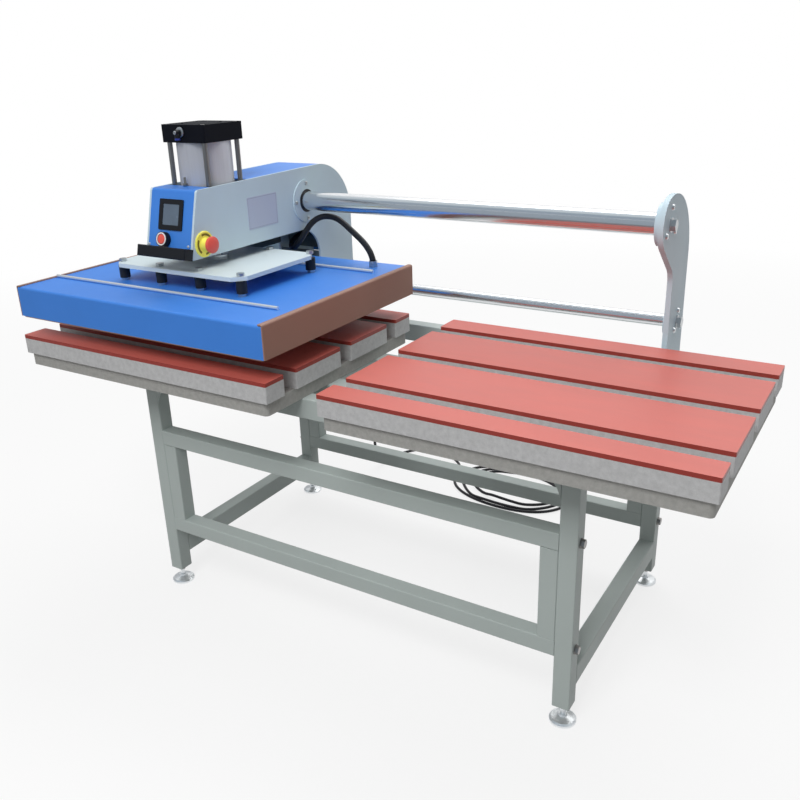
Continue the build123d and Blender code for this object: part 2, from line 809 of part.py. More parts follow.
export_step(air_fitting.part, "parts/air_fitting.step")

# Control panel
with BuildPart() as controller:
    with BuildSketch(front_face):
        with Locations((0, bezel_up)):
            Rectangle(bezel_size[0] - controller_inset - 1, bezel_size[1] - controller_inset - 1)
    extrude(amount=-controller_depth)
controller.part.label = "controller"
export_step(controller.part, "parts/controller.step")

with BuildPart() as display_bezel:
    with BuildSketch(front_face):
        with Locations((0, bezel_up)):
            RectangleRounded(*bezel_size, 3)
            Rectangle(screen_size[0] + bolt_gap, screen_size[1] + bolt_gap, mode=Mode.SUBTRACT)
    extrude(amount=bezel_thickness)
display_bezel.part.label = "display_bezel"
export_step(display_bezel.part, "parts/display_bezel.step")

with BuildPart() as display_screen:
    with BuildSketch(front_face):
        with Locations((0, bezel_up)):
            Rectangle(*screen_size)
    extrude(amount=screen_thickness)
display_screen.part.label = "display_screen"
export_step(display_screen.part, "parts/display_screen.step")

with BuildPart() as start_button_housing:
    with BuildSketch(front_face):
        with Locations(button_place):
            Circle(button_radius)
    extrude(amount=button_height)
    with BuildSketch(front_face):
        with Locations(button_place):
            Circle(button_neck)
    extrude(amount=-button_depth)
    with BuildSketch(front_face.offset(button_floor)):
        with Locations(button_place):
            Circle(button_bore)
    extrude(amount=button_height, mode=Mode.SUBTRACT)
    rim = start_button_housing.edges().filter_by(GeomType.CIRCLE).sort_by_distance(
        front_face.offset(button_height).origin
    )
    chamfer(rim.sort_by(SortBy.RADIUS)[-1], 1.5)
start_button_housing.part.label = "start_button_housing"
export_step(start_button_housing.part, "parts/start_button_housing.step")

cap_foot = button_floor + button_travel + running_gap
with BuildPart() as start_button_cap:
    with BuildSketch(front_face.offset(cap_foot)):
        with Locations(button_place):
            Circle(button_bore - running_gap)
    extrude(amount=button_height + 1 - cap_foot)
    chamfer(start_button_cap.faces().sort_by(Axis(front_face.origin, front_face.z_dir))[-1].edges(), 1)
start_button_cap.part.label = "start_button_cap"
export_step(start_button_cap.part, "parts/start_button_cap.step")

# Emergency stop on the right side plate: each profile is (radius, distance out)
stop_section = Plane(origin=right_face.origin, x_dir=(0, 1, 0), z_dir=(0, 0, -1))
stop_axis = Axis(right_face.origin, (1, 0, 0))
with BuildPart() as estop_housing:
    with BuildSketch(stop_section):
        with BuildLine():
            Polyline(
                (estop_stem_radius + running_gap, -estop_body_depth),
                (estop_body_radius, -estop_body_depth),
                (estop_body_radius, 0),
                (estop_ring_radius, 0),
                (estop_ring_radius, 1),
                (estop_ring_radius - 2, estop_ring_thickness),
                (estop_neck_radius + 2, estop_ring_thickness),
                (estop_neck_radius - 2, estop_neck_height),
                (estop_stem_radius + running_gap, estop_neck_height),
                close=True,
            )
        make_face()
    revolve(axis=stop_axis)
estop_housing.part.label = "estop_housing"
export_step(estop_housing.part, "parts/estop_housing.step")

stem_tip = estop_out - estop_head_height / 2
with BuildPart() as estop_plunger:
    with BuildSketch(right_face.offset(estop_travel - estop_body_depth)):
        Circle(estop_stem_radius)
    extrude(amount=estop_body_depth - estop_travel + stem_tip)
estop_plunger.part.label = "estop_plunger"
export_step(estop_plunger.part, "parts/estop_plunger.step")

head_foot = estop_neck_height + estop_travel + 1
with BuildPart() as estop_head:
    with BuildSketch(stop_section):
        with BuildLine():
            crown = ThreePointArc(
                (0, estop_out),
                (0.62 * estop_head_radius, estop_out - 1.4),
                (estop_head_radius - 1, estop_out - 4),
            )
            Polyline(
                crown @ 1,
                (estop_head_radius, estop_out - 6),
                (estop_head_radius - 1, estop_out - estop_head_height),
                (estop_neck_radius - 2, head_foot),
                (estop_stem_radius + running_gap, head_foot),
                (estop_stem_radius + running_gap, stem_tip + running_gap),
                (0, stem_tip + running_gap),
                crown @ 0,
            )
        make_face()
    revolve(axis=stop_axis)
estop_head.part.label = "estop_head"
export_step(estop_head.part, "parts/estop_head.step")

with BuildPart() as pull_handle:
    with BuildSketch(front_face):
        with Locations((0, handle_height / 2)):
            Rectangle(handle_length, handle_height)
    extrude(amount=handle_reach)
    with BuildSketch(front_face):
        with Locations((0, handle_height / 2)):
            Rectangle(handle_length - 2 * handle_post, handle_height)
    extrude(amount=handle_reach - handle_depth, mode=Mode.SUBTRACT)
    grip = pull_handle.faces().sort_by(Axis(front_face.origin, front_face.z_dir))[-1]
    fillet(grip.edges(), 3)
pull_handle.part.label = "pull_handle"
export_step(pull_handle.part, "parts/pull_handle.step")

# Heating head
piston_top = tube_top - piston_top_gap
with BuildPart() as piston_rod:
    with BuildSketch(Plane.XY.offset(mount_top)):
        with Locations(cylinder_axis):
            Circle(piston_rod_radius)
    extrude(amount=piston_top - piston_thickness - mount_top)
    with BuildSketch(Plane.XY.offset(mount_top)):
        with Locations(cylinder_axis):
            Circle(2 * piston_rod_radius)
    extrude(amount=mount_plate_thickness)
    with BuildSketch(Plane.XY.offset(piston_top)):
        with Locations(cylinder_axis):
            Circle(cylinder_bore / 2 - running_gap)
    extrude(amount=-piston_thickness)
piston_rod.part.label = "piston_rod"
export_step(piston_rod.part, "parts/piston_rod.step")

standoff_places = [
    (head_x + (column - 1.5) * standoff_pitch, table_y + row)
    for column in range(4)
    for row in (-standoff_front, standoff_back)
]
port_x = head_x + cover_length / 2 - port_end_inset
port_y = table_y + cover_width / 2 - port_back_inset
with BuildPart() as mount_plate:
    with BuildSketch(Plane.XY.offset(mount_bottom)) as plate_face:
        with Locations((head_x, table_y + mount_plate_shift)):
            Rectangle(*mount_plate_size)
        chamfer(plate_face.vertices(), mount_plate_corner)
        with Locations(*standoff_places):
            Circle(mount_bolt_radius + bolt_gap, mode=Mode.SUBTRACT)
    extrude(amount=mount_plate_thickness)
mount_plate.part.label = "mount_plate"
export_step(mount_plate.part, "parts/mount_plate.step")

with BuildPart() as rubber_standoffs:
    with BuildSketch(Plane.XY.offset(mount_bottom)):
        with Locations(*standoff_places):
            Circle(standoff_radius)
            Circle(mount_bolt_radius + bolt_gap, mode=Mode.SUBTRACT)
    extrude(amount=-standoff_height)
rubber_standoffs.part.label = "rubber_standoffs"
export_step(rubber_standoffs.part, "parts/rubber_standoffs.step")

with BuildPart() as mount_bolts:
    with BuildSketch(Plane.XY.offset(platen_bottom + platen_thickness)):
        with Locations(*standoff_places):
            Circle(mount_bolt_radius)
    extrude(amount=mount_top - platen_bottom - platen_thickness)
    for nut_bottom in (cover_top, mount_top):
        with BuildSketch(Plane.XY.offset(nut_bottom)):
            with Locations(*standoff_places):
                RegularPolygon(mount_nut_flats / 2, 6, major_radius=False)
        extrude(amount=mount_nut_height)
mount_bolts.part.label = "mount_bolts"
export_step(mount_bolts.part, "parts/mount_bolts.step")

skin_length = cover_length - 2 * end_cap_thickness
with BuildPart() as heater_cover:
    with BuildSketch(Plane.XY.offset(skirt_bottom)):
        with Locations(cylinder_axis):
            Rectangle(skin_length, cover_width)
    extrude(amount=cover_height)
    long_edges = heater_cover.faces().sort_by(Axis.Z)[-1].edges().filter_by(Axis.X)
    fillet(long_edges, cover_corner)
    with BuildSketch(Plane.XY.offset(skirt_bottom)):
        with Locations(cylinder_axis):
            Rectangle(skin_length - 2 * cover_sheet, cover_width - 2 * cover_sheet)
    extrude(amount=cover_height - cover_corner, mode=Mode.SUBTRACT)
    with BuildSketch(Plane.XY.offset(cover_top)):
        with Locations(*standoff_places):
            Circle(mount_bolt_radius + bolt_gap)
        with Locations((port_x, port_y)):
            Circle(hose_radius)
    extrude(amount=-cover_corner, mode=Mode.SUBTRACT)
heater_cover.part.label = "heater_cover"
export_step(heater_cover.part, "parts/heater_cover.step")

with BuildPart() as cover_end_caps:
    for side in (-1, 1):
        outer_x = head_x + side * cover_length / 2
        with BuildSketch(Plane.YZ.offset(outer_x)):
            with Locations((table_y, skirt_bottom + cover_height / 2)):
                Rectangle(cover_width, cover_height)
        extrude(amount=-side * end_cap_thickness)
        with BuildSketch(Plane.YZ.offset(outer_x)):
            with Locations((table_y, cover_top + end_cap_thickness / 2)):
                Rectangle(cover_width, end_cap_thickness)
        extrude(amount=-side * end_cap_lip)
    outer_edges = cover_end_caps.edges().filter_by(Axis.Y).group_by(Axis.Z)[-1].sort_by(Axis.X)
    fillet([outer_edges[0], outer_edges[-1]], 2 * end_cap_thickness - 1)
cover_end_caps.part.label = "cover_end_caps"
export_step(cover_end_caps.part, "parts/cover_end_caps.step")

trim_start = head_x - cover_length / 2 + end_cap_lip
trim_end = head_x + cover_length / 2 - trim_rod_end_gap
trim_rows = (table_y - cover_width / 2 + trim_rod_front, table_y + cover_width / 2 - trim_rod_back)
with BuildPart() as trim_rods:
    with BuildSketch(Plane.YZ.offset(trim_start)):
        with Locations(*[(row, cover_top + trim_rod_radius) for row in trim_rows]):
            Circle(trim_rod_radius)
    extrude(amount=trim_end - trim_start)
trim_rods.part.label = "trim_rods"
export_step(trim_rods.part, "parts/trim_rods.step")

platen_length = cover_length - 2 * platen_end_gap
platen_width = cover_width - 2 * platen_side_gap
insulation_bottom = platen_bottom + platen_thickness
insulation_top = cover_top - cover_corner
with BuildPart() as insulation:
    with BuildSketch(Plane.XY.offset(insulation_bottom)):
        with Locations(cylinder_axis):
            Rectangle(platen_length - 2 * insulation_inset, platen_width - 2 * insulation_inset)
        with Locations(*standoff_places):
            Circle(mount_bolt_radius + bolt_gap, mode=Mode.SUBTRACT)
    extrude(amount=insulation_top - insulation_bottom)
insulation.part.label = "insulation"
export_step(insulation.part, "parts/insulation.step")

with BuildPart() as heat_platen:
    with BuildSketch(Plane.XY.offset(platen_bottom)):
        with Locations(cylinder_axis):
            RectangleRounded(platen_length, platen_width, cover_corner)
    extrude(amount=platen_thickness)
heat_platen.part.label = "heat_platen"
export_step(heat_platen.part, "parts/heat_platen.step")

with BuildPart() as hose_connector:
    with BuildSketch(Plane.XY.offset(cover_top)):
        with Locations((port_x, port_y)):
            RegularPolygon(connector_radius, 6)
    extrude(amount=connector_height - hose_socket)
    with BuildSketch(Plane.XY.offset(cover_top + connector_height - hose_socket)):
        with Locations((port_x, port_y)):
            Circle(connector_radius - 1)
            Circle(hose_radius + hose_fit, mode=Mode.SUBTRACT)
    extrude(amount=hose_socket)
hose_connector.part.label = "hose_connector"
export_step(hose_connector.part, "parts/hose_connector.step")


# Hose and cord: straight runs joined by tangent arcs
def route_radii(points):
    """An arc for each corner, 0.45 of the shorter run over the tangent of half the turn."""
    radii = []
    for before, corner, after in zip(points, points[1:], points[2:]):
        run_in = Vector(*corner) - Vector(*before)
        run_out = Vector(*after) - Vector(*corner)
        turn = radians(run_in.get_angle(run_out))
        radii.append(0.45 * min(run_in.length, run_out.length) / tan(turn / 2))
    return radii


def bent_route(start, end, bends):
    """Points at shares of the way from start to end, each moved aside by (x, y, z)."""
    way = Vector(*end) - Vector(*start)
    moved = [Vector(*start) + way * share + Vector(*aside) for share, aside in bends]
    return [tuple(Vector(*start)), *[tuple(point) for point in moved], tuple(Vector(*end))]


def round_tube(points, radius):
    """A tube along a route, swept from its first point."""
    radii = route_radii(points)
    with BuildLine() as route:
        FilletPolyline(*points, radius=radii)
    path = route.wire()
    with BuildSketch(Plane(origin=points[0], z_dir=path % 0)) as section:
        Circle(radius)
    sweep(section.sketch, path=path)
    print("Route of", round(path.length), "mm with arcs of", [round(size) for size in radii])


under_bends = [
    (0.23, (-13.5, -18.5, -18)),
    (0.45, (-14.5, -32, -33.5)),
    (0.63, (-4, -34.5, -34)),
    (0.81, (1.5, -22.5, -19.5)),
]
over_bends = [
    (0.09, (-8.5, 14, 26.5)),
    (0.17, (-11.5, 28.5, 44.5)),
    (0.25, (-8.5, 40.5, 53)),
    (0.35, (-4, 47.5, 54.5)),
    (0.46, (0, 43, 48)),
    (0.57, (3.5, 33.5, 42)),
    (0.67, (7, 24, 37)),
    (0.77, (9.5, 14.5, 32)),
    (0.87, (9, 5.5, 24)),
    (0.94, (8.5, 0.5, 12.5)),
]
hose_start = (head_x, hose_gland_place[1] - hose_gland_length, hose_gland_place[2])
hose_lead = (head_x, hose_start[1] - hose_straight, hose_start[2])
hose_pass = (
    head_x + arm_outer + hose_radius + hose_pass_gap,
    hose_start[1] - hose_pass_reach,
    belly_z - hose_pass_drop,
)
hose_end = (port_x, port_y, cover_top + connector_height - hose_socket + hose_seat)
under_route = bent_route(hose_lead, hose_pass, under_bends)
hose_route = [hose_start, *under_route, *bent_route(hose_pass, hose_end, over_bends)[1:]]
with BuildPart() as hose:
    round_tube(hose_route, hose_radius)
hose.part.label = "hose"
export_step(hose.part, "parts/hose.step")

with BuildPart() as cord_gland:
    with BuildSketch(Plane(origin=(head_x, *gland_place), x_dir=(1, 0, 0), z_dir=(0, 1, 0))):
        Circle(cord_gland_radius)
    extrude(amount=cord_gland_length, taper=8)
cord_gland.part.label = "cord_gland"
export_step(cord_gland.part, "parts/cord_gland.step")

drop_bends = [
    (0.05, (-0.5, 29.5, 26)),
    (0.1, (-2.5, 51.5, 33.5)),
    (0.17, (-4, 58, 34.5)),
    (0.27, (-4.5, 51, 26)),
    (0.39, (-1.5, 38.5, 21.5)),
    (0.52, (3, 21.5, 15)),
    (0.65, (7, 4, 4)),
    (0.77, (8.5, -12, -5.5)),
    (0.88, (7.5, -24, -3.5)),
    (0.95, (3.5, -21.5, -10)),
]
floor_bends = [
    (0.1, (-33.5, 34.5, 0)),
    (0.21, (-60, 74, 0)),
    (0.33, (-72.5, 114, 0)),
    (0.45, (-70.5, 139, 0)),
    (0.56, (-55, 141.5, 0)),
    (0.67, (-39.5, 112.5, 0)),
    (0.79, (-27, 66.5, 0)),
    (0.9, (-15.5, 30, 0)),
]
cord_lie = cord_radius + 0.45
cord_start = (head_x, gland_place[0] + cord_gland_length, gland_place[1])
cord_foot = (head_x - cord_foot_reach[0], arm_back + cord_foot_reach[1], cord_foot_reach[2])
cord_end = (coil_centre[0] - coil_join[0], coil_centre[1] + coil_join[1], cord_lie)
cord_lead = (head_x, cord_start[1] + cord_straight, cord_start[2])
drop_route = bent_route(cord_lead, cord_foot, drop_bends)
floor_route = bent_route((*cord_foot[:2], cord_lie), cord_end, floor_bends)
cord_route = [cord_start, *drop_route, *floor_route[1:]]
cord_tail = [
    (-112, 693, cord_lie),
    (-84, 684, 5.8),
    (-50, 687, 9.5),
    (-12, coil_centre[1], plug_size[2] / 2),
    (coil_centre[0] - plug_size[0] / 2, coil_centre[1], plug_size[2] / 2),
]
with BuildPart() as power_cord:
    round_tube(cord_route, cord_radius)
    round_tube(cord_tail, cord_radius)
power_cord.part.label = "power_cord"
export_step(power_cord.part, "parts/power_cord.step")

with BuildPart() as cord_coil:
    with BuildSketch():
        with Locations(coil_centre):
            Ellipse(*coil_outer)
            Ellipse(*coil_inner, mode=Mode.SUBTRACT)
    extrude(amount=coil_height)
cord_coil.part.label = "cord_coil"
export_step(cord_coil.part, "parts/cord_coil.step")

plug_nose = coil_centre[0] + plug_size[0] / 2
with BuildPart() as cord_plug:
    with BuildSketch():
        with Locations(coil_centre):
            RectangleRounded(plug_size[0], plug_size[1], 8)
    extrude(amount=plug_size[2])
    fillet(cord_plug.faces().sort_by(Axis.Z)[-1].edges(), 5)
    with BuildSketch(Plane.YZ.offset(plug_nose)):
        with Locations((coil_centre[1], plug_size[2] / 2)):
            with GridLocations(pin_spacing, 0, 2, 1):
                Circle(pin_radius)
    extrude(amount=pin_length)
cord_plug.part.label = "cord_plug"
export_step(cord_plug.part, "parts/cord_plug.step")
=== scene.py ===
# Dual station heat press: the small parts, finishes, floor and light that go with its CAD frame
import json

import bmesh
import bpy
import numpy as np
from mathutils import Matrix, Vector

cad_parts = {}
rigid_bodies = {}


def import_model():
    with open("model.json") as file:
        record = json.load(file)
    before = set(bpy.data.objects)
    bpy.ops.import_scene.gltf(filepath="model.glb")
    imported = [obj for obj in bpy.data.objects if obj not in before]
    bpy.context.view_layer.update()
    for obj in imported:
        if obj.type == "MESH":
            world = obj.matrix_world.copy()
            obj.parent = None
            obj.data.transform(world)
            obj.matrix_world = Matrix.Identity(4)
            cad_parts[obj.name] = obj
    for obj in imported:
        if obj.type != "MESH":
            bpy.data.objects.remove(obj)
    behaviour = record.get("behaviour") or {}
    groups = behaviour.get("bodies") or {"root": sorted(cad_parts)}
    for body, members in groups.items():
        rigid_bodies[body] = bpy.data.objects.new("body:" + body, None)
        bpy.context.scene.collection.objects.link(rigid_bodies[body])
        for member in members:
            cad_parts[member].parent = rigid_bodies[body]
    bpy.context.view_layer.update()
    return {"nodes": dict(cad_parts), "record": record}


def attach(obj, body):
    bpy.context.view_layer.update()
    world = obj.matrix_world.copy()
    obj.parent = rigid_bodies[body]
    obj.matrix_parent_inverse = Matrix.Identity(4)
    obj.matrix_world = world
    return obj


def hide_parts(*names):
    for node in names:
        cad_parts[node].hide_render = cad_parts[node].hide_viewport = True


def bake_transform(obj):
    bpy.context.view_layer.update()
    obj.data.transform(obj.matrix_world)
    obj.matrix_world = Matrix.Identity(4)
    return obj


for leftover in list(bpy.data.objects):
    bpy.data.objects.remove(leftover)

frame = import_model()
scene = bpy.context.scene
print("frame loaded with", len(frame["nodes"]), "CAD nodes")

# The camera stands where the photograph's did, matched to the tables' corners.
camera = {
    "place": (1.0753, -1.6868, 1.3591),
    "right": (0.853818, 0.519746, -0.029298),
    "up": (-0.168862, 0.329759, 0.928840),
    "back": (0.492422, -0.788114, 0.369320),
    "lens": 38.461,
    "sensor": 36.0,
    "clip": (0.05, 200),
}


def addCamera(settings):
    data = bpy.data.cameras.new("camera")
    data.lens, data.sensor_width = settings["lens"], settings["sensor"]
    data.clip_start, data.clip_end = settings["clip"]
    eye = bpy.data.objects.new("camera", data)
    axes = Matrix([settings[axis] for axis in ("right", "up", "back")]).transposed()
    eye.matrix_world = Matrix.Translation(settings["place"]) @ axes.to_4x4()
    scene.collection.objects.link(eye)
    scene.camera = eye


addCamera(camera)
print("camera placed")


# Vectors cut to length 1: v / |v|.
def unit(v):
    v = np.asarray(v, float)
    return v / np.linalg.norm(v, axis=-1, keepdims=True)


# Quads between the neighbouring points of a grid, wrapped round where it closes.
def gridFaces(rows, columns, wrapRows=False, wrapColumns=False):
    r, c = np.meshgrid(
        np.arange(rows if wrapRows else rows - 1),
        np.arange(columns if wrapColumns else columns - 1),
        indexing="ij",
    )
    nextR, nextC = (r + 1) % rows, (c + 1) % columns
    corners = [r * columns + c, r * columns + nextC, nextR * columns + nextC, nextR * columns + c]
    return np.stack(corners, -1).reshape(-1, 4)


# A mesh from arrays, with its doubles merged and its faces turned outwards.
def meshPiece(name, points, faces, smooth=True):
    mesh = bpy.data.meshes.new(name)
    mesh.from_pydata(np.reshape(points, (-1, 3)).tolist(), [], np.asarray(faces).tolist())
    shape = bmesh.new()
    shape.from_mesh(mesh)
    bmesh.ops.remove_doubles(shape, verts=shape.verts, dist=2e-6)
    bmesh.ops.dissolve_degenerate(shape, edges=shape.edges, dist=1e-7)
    bmesh.ops.recalc_face_normals(shape, faces=shape.faces)
    shape.to_mesh(mesh)
    shape.free()
    if smooth:
        mesh.shade_smooth()
    piece = bpy.data.objects.new(name, mesh)
    scene.collection.objects.link(piece)
    return piece


# Turned parts: seat + height * axis + radius * (cos a * side + sin a * over), for all seats at once.
def turned(name, profile, seats, axis, steps=32, smooth=True):
    profile, seats = np.asarray(profile, float), np.atleast_2d(seats)
    axes = np.broadcast_to(unit(axis), seats.shape)
    helper = np.where(np.abs(axes[:, 2:]) < 0.9, [[0.0, 0.0, 1.0]], [[1.0, 0.0, 0.0]])
    side = unit(np.cross(helper, axes))
    over = np.cross(axes, side)
    a = np.linspace(0, 2 * np.pi, steps, endpoint=False)[None, :, None]
    ring = np.cos(a) * side[:, None] + np.sin(a) * over[:, None]
    points = (
        seats[:, None, None]
        + profile[None, :, None, 1:] * axes[:, None, None]
        + profile[None, :, None, :1] * ring[:, None]
    )
    one = gridFaces(len(profile), steps, wrapColumns=True)
    shift = np.arange(len(seats))[:, None, None] * len(profile) * steps
    return meshPiece(name, points, (one[None] + shift).reshape(-1, 4), smooth)


worn = []  # each new piece with the name of its finish


def fit(piece, body, finish, replaced=()):
    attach(piece, body)
    if replaced:
        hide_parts(*replaced)
    worn.append((piece, finish))


# Mains cord, in millimetres: down behind the stand to the floor, round the coil and inwards to its plug
powerCord = {
    "diameter": 9.5,
    "route": [
        (-455, 425.5, 850), (-455, 462, 850), (-462, 495, 833), (-470, 518, 799),
        (-473, 535, 742), (-474, 546, 650), (-470, 557, 545), (-463, 565, 430),
        (-456, 572, 310), (-452, 577, 200), (-453, 584, 110), (-457, 598, 45),
        (-461, 628, 13), (-463, 675, 5.2), (-455, 728, 5.2), (-430, 783, 5.2),
        (-390, 823, 5.2), (-340, 841, 5.2), (-290, 824, 5.2), (-247, 795, 5.2), (-209, 762, 5.2),
    ],
    "tail": [
        (-60, 785, 5.2), (-83, 771, 5.2), (-96, 749, 5.2), (-98, 723, 5.2),
        (-85, 699, 6.5), (-58, 687, 9), (-19, 693, 12), (22, 697.5, 13),
    ],
    "coilCentre": (40.0, 690.0),
    "coilAxes": (215.0, 150.0),
    "restHeight": 5.2,
    "crossingGap": 0.7,
    "step": 15,
    # how far out the cord lies at each angle of its turns, as a share of the coil's half axes
    "angles": [
        176, 205, 227, 250, 272, 301, 321, 340, 380, 420, 450, 475, 492, 510, 540, 570, 585, 600,
        653, 680, 720, 770, 810, 835, 855, 880, 900, 930, 955, 984, 1015, 1045, 1080, 1130, 1170, 1200,
    ],
    "shares": [
        1.045, 1.025, 0.99, 0.945, 0.94, 0.99, 0.965, 0.90, 0.93, 0.95, 0.93, 0.97,
        1.04, 1.06, 0.93, 0.84, 0.87, 0.93, 0.90, 0.81, 0.79, 0.81, 0.84, 0.90,
        0.94, 0.84, 0.74, 0.66, 0.64, 0.66, 0.68, 0.685, 0.70, 0.73, 0.77, 0.75,
    ],
    "lengthMetres": 4.4,
}


# A loose coil: centre + share * (a cos angle, b sin angle), where the share wanders from turn to turn.
# Where a turn comes nearer than a diameter to an earlier one, it climbs over: z = lower z + sqrt(d^2 - gap^2).
def coilPoints(settings):
    step, d = settings["step"], settings["diameter"] + settings["crossingGap"]
    angle = np.arange(settings["angles"][0], settings["angles"][-1] + 1, step, dtype=float)
    share = np.interp(angle, settings["angles"], settings["shares"])
    share[1:-1] = (share[:-2] + 2 * share[1:-1] + share[2:]) / 4
    a = np.radians(angle)
    ring = np.array(settings["coilAxes"]) * np.stack([np.cos(a), np.sin(a)], -1)
    flat = np.array(settings["coilCentre"]) + share[:, None] * ring
    turn = 360 // step
    z = np.full(len(angle), settings["restHeight"])
    for lap in range(1, 1 + len(angle) // turn):
        here = slice(lap * turn, min((lap + 1) * turn, len(angle)))
        for earlier in range(lap):
            there = slice(earlier * turn, earlier * turn + here.stop - here.start)
            gap = np.linalg.norm(flat[here] - flat[there], axis=1)
            z[here] = np.maximum(z[here], z[there] + np.sqrt(np.maximum(0, d * d - gap * gap)) * (gap < d))
    return np.column_stack([flat, z])


# A spline of degree 2 that starts and ends at its outer points and is drawn towards the others.
def nurbsCurve(name, points, radius):
    curve = bpy.data.curves.new(name, "CURVE")
    curve.dimensions = "3D"
    spline = curve.splines.new("NURBS")
    spline.points.add(len(points) - 1)
    spline.points.foreach_set("co", np.column_stack([points, np.ones(len(points))]).ravel())
    # the points carry the thickness, because their radius also widens the curve's bound box
    spline.points.foreach_set("radius", np.full(len(points), radius))
    spline.order_u = 3  # set once the points are there
    spline.use_endpoint_u = True
    curve.resolution_u = spline.resolution_u = 8
    curve.bevel_depth = 1
    curve.bevel_resolution = 5
    curve.use_fill_caps = True
    piece = bpy.data.objects.new(name, curve)
    scene.collection.objects.link(piece)
    return piece


cordPoints = np.vstack([powerCord["route"], coilPoints(powerCord), powerCord["tail"]]) / 1000
cordDiameter = powerCord["diameter"] / 1000
cord = nurbsCurve("mainsCord", cordPoints, cordDiameter / 2)
fit(cord, "carriage", "cordSheath", replaced=("power_cord", "cord_coil"))

# Hose from the valve box to the cover, in millimetres
airHose = {
    "diameter": 16.0,
    "steps": 28,
    "route": [
        (-455, 269.5, 904), (-455, 240, 904), (-449, 205, 893), (-431, 176, 884),
        (-405, 161, 889), (-384, 160, 909), (-369.5, 169, 934), (-358, 182, 955),
        (-343, 195, 968), (-322, 206, 972), (-295, 212, 967), (-266, 206, 954),
        (-238, 195, 941), (-212, 184, 930), (-187, 173, 919), (-165, 163, 905),
        (-150, 157, 889), (-145, 155.5, 873),
    ],
    "neverAlong": (0.31, 0.87, -0.38),  # a direction that the hose never takes
    "lengthMetres": 0.481,
}


# The points that a curve's spline passes, read back from it with no thickness.
def alongCurve(points):
    guide = nurbsCurve("guide", points, 0)
    guide.data.bevel_depth = 0
    bpy.context.view_layer.update()
    lined = guide.evaluated_get(bpy.context.evaluated_depsgraph_get())
    mesh = bpy.data.meshes.new_from_object(lined)
    co = np.zeros(len(mesh.vertices) * 3)
    mesh.vertices.foreach_get("co", co)
    bpy.data.objects.remove(guide)
    bpy.data.meshes.remove(mesh)
    return co.reshape(-1, 3)


# A tube: line + radius * (cos a * side + sin a * over), where both stand square to the line's direction.
def tubeAlong(name, line, radius, steps, neverAlong):
    ahead = unit(np.gradient(line, axis=0))
    side = unit(np.cross(ahead, neverAlong))
    over = np.cross(ahead, side)
    a = np.linspace(0, 2 * np.pi, steps, endpoint=False)[None, :, None]
    around = np.cos(a) * side[:, None] + np.sin(a) * over[:, None]
    radii = np.concatenate([[0], np.full(len(line), radius), [0]])[:, None, None]
    rows = np.concatenate([[0], np.arange(len(line)), [len(line) - 1]])
    points = line[rows][:, None] + radii * around[rows]
    return meshPiece(name, points, gridFaces(len(rows), steps, wrapColumns=True))


hoseLine = alongCurve(np.array(airHose["route"]) / 1000)
hoseDiameter = airHose["diameter"] / 1000
hose = tubeAlong("hoseTube", hoseLine, hoseDiameter / 2, airHose["steps"], airHose["neverAlong"])
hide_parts("hose")
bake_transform(hose)
worn.append((hose, "blackRubber"))
print("cords laid: hose", round(float(np.linalg.norm(np.diff(hoseLine, axis=0), axis=1).sum()), 3), "m")


# The four rounded corners of a rectangle, seen from its middle: each point's corner centre and its way
# out from there, (cos a, sin a).
def roundedCorners(size, radius, steps):
    corner = np.repeat(np.arange(4), steps)
    angle = np.tile(np.linspace(0, np.pi / 2, steps), 4) + corner * np.pi / 2
    signs = np.array([(1, 1), (-1, 1), (-1, -1), (1, -1)])[corner]
    return signs * (np.array(size) / 2 - radius), np.stack([np.cos(angle), np.sin(angle)], -1)


# A plate with rounded corners on a plane: corner centre + (radius - inset) * (cos a, sin a), stepped
# through the (inset, height) pairs of its section and closed at its middle on both faces.
def roundedPlate(name, look, steps=6):
    heart, rim = roundedCorners(look["size"], look["corner"], steps)
    rows = [heart + rim * (look["corner"] - inset) for inset, height in look["section"]]
    rows = [np.zeros_like(heart)] + rows + [np.zeros_like(heart)]
    heights = [height for inset, height in look["section"]]
    heights = [heights[0]] + heights + [heights[-1]]
    flat, lift = np.array(rows), np.array(heights)[:, None, None]
    across, upward, outward = np.array(look["axes"], float)
    points = np.array(look["centre"]) + flat[..., :1] * across + flat[..., 1:] * upward + lift * outward
    return meshPiece(name, points, gridFaces(len(rows), 4 * steps, wrapColumns=True), smooth=False)


# A ring sector on a plane: centre + radius * (cos a * across + sin a * upward) + height * outward.
def ringSector(name, look, start, end, steps=24):
    angle = np.radians(np.linspace(start, end, steps))[:, None, None]
    radius = np.array([look["inner"], look["outer"], look["outer"], look["inner"]])[None, :, None]
    height = np.array([look["thickness"], look["thickness"], 0, 0])[None, :, None]
    across, upward, outward = np.array(look["axes"], float)
    points = np.array(look["centre"]) + radius * (np.cos(angle) * across + np.sin(angle) * upward) + height * outward
    ends = [[3, 2, 1, 0], list(range(4 * steps - 4, 4 * steps))]
    return meshPiece(name, points, gridFaces(steps, 4, wrapColumns=True).tolist() + ends, smooth=False)


# The arm's right face, its width, and where the rods pass it, as (y, z)
arm = {
    "right": -0.380,
    "width": 0.150,
    "flange": 0.003,
    "upperRod": (0.1925, 1.012),
    "lowerRod": (0.3225, 0.761),
}
# Screws of the bearing flanges: the head's profile is in shares of its radius
flangeScrews = {
    "upperReach": 0.047,
    "lowerReach": 0.029,
    "upperRadius": 0.0052,
    "lowerRadius": 0.0038,
    "angles": (90, 180, 270, 0),
    "head": [(0, 0), (1, 0), (1, 0.34), (0.9, 0.54), (0.62, 0.66), (0.5, 0.68), (0.46, 0.3), (0, 0.3)],
    "steps": 20,
}


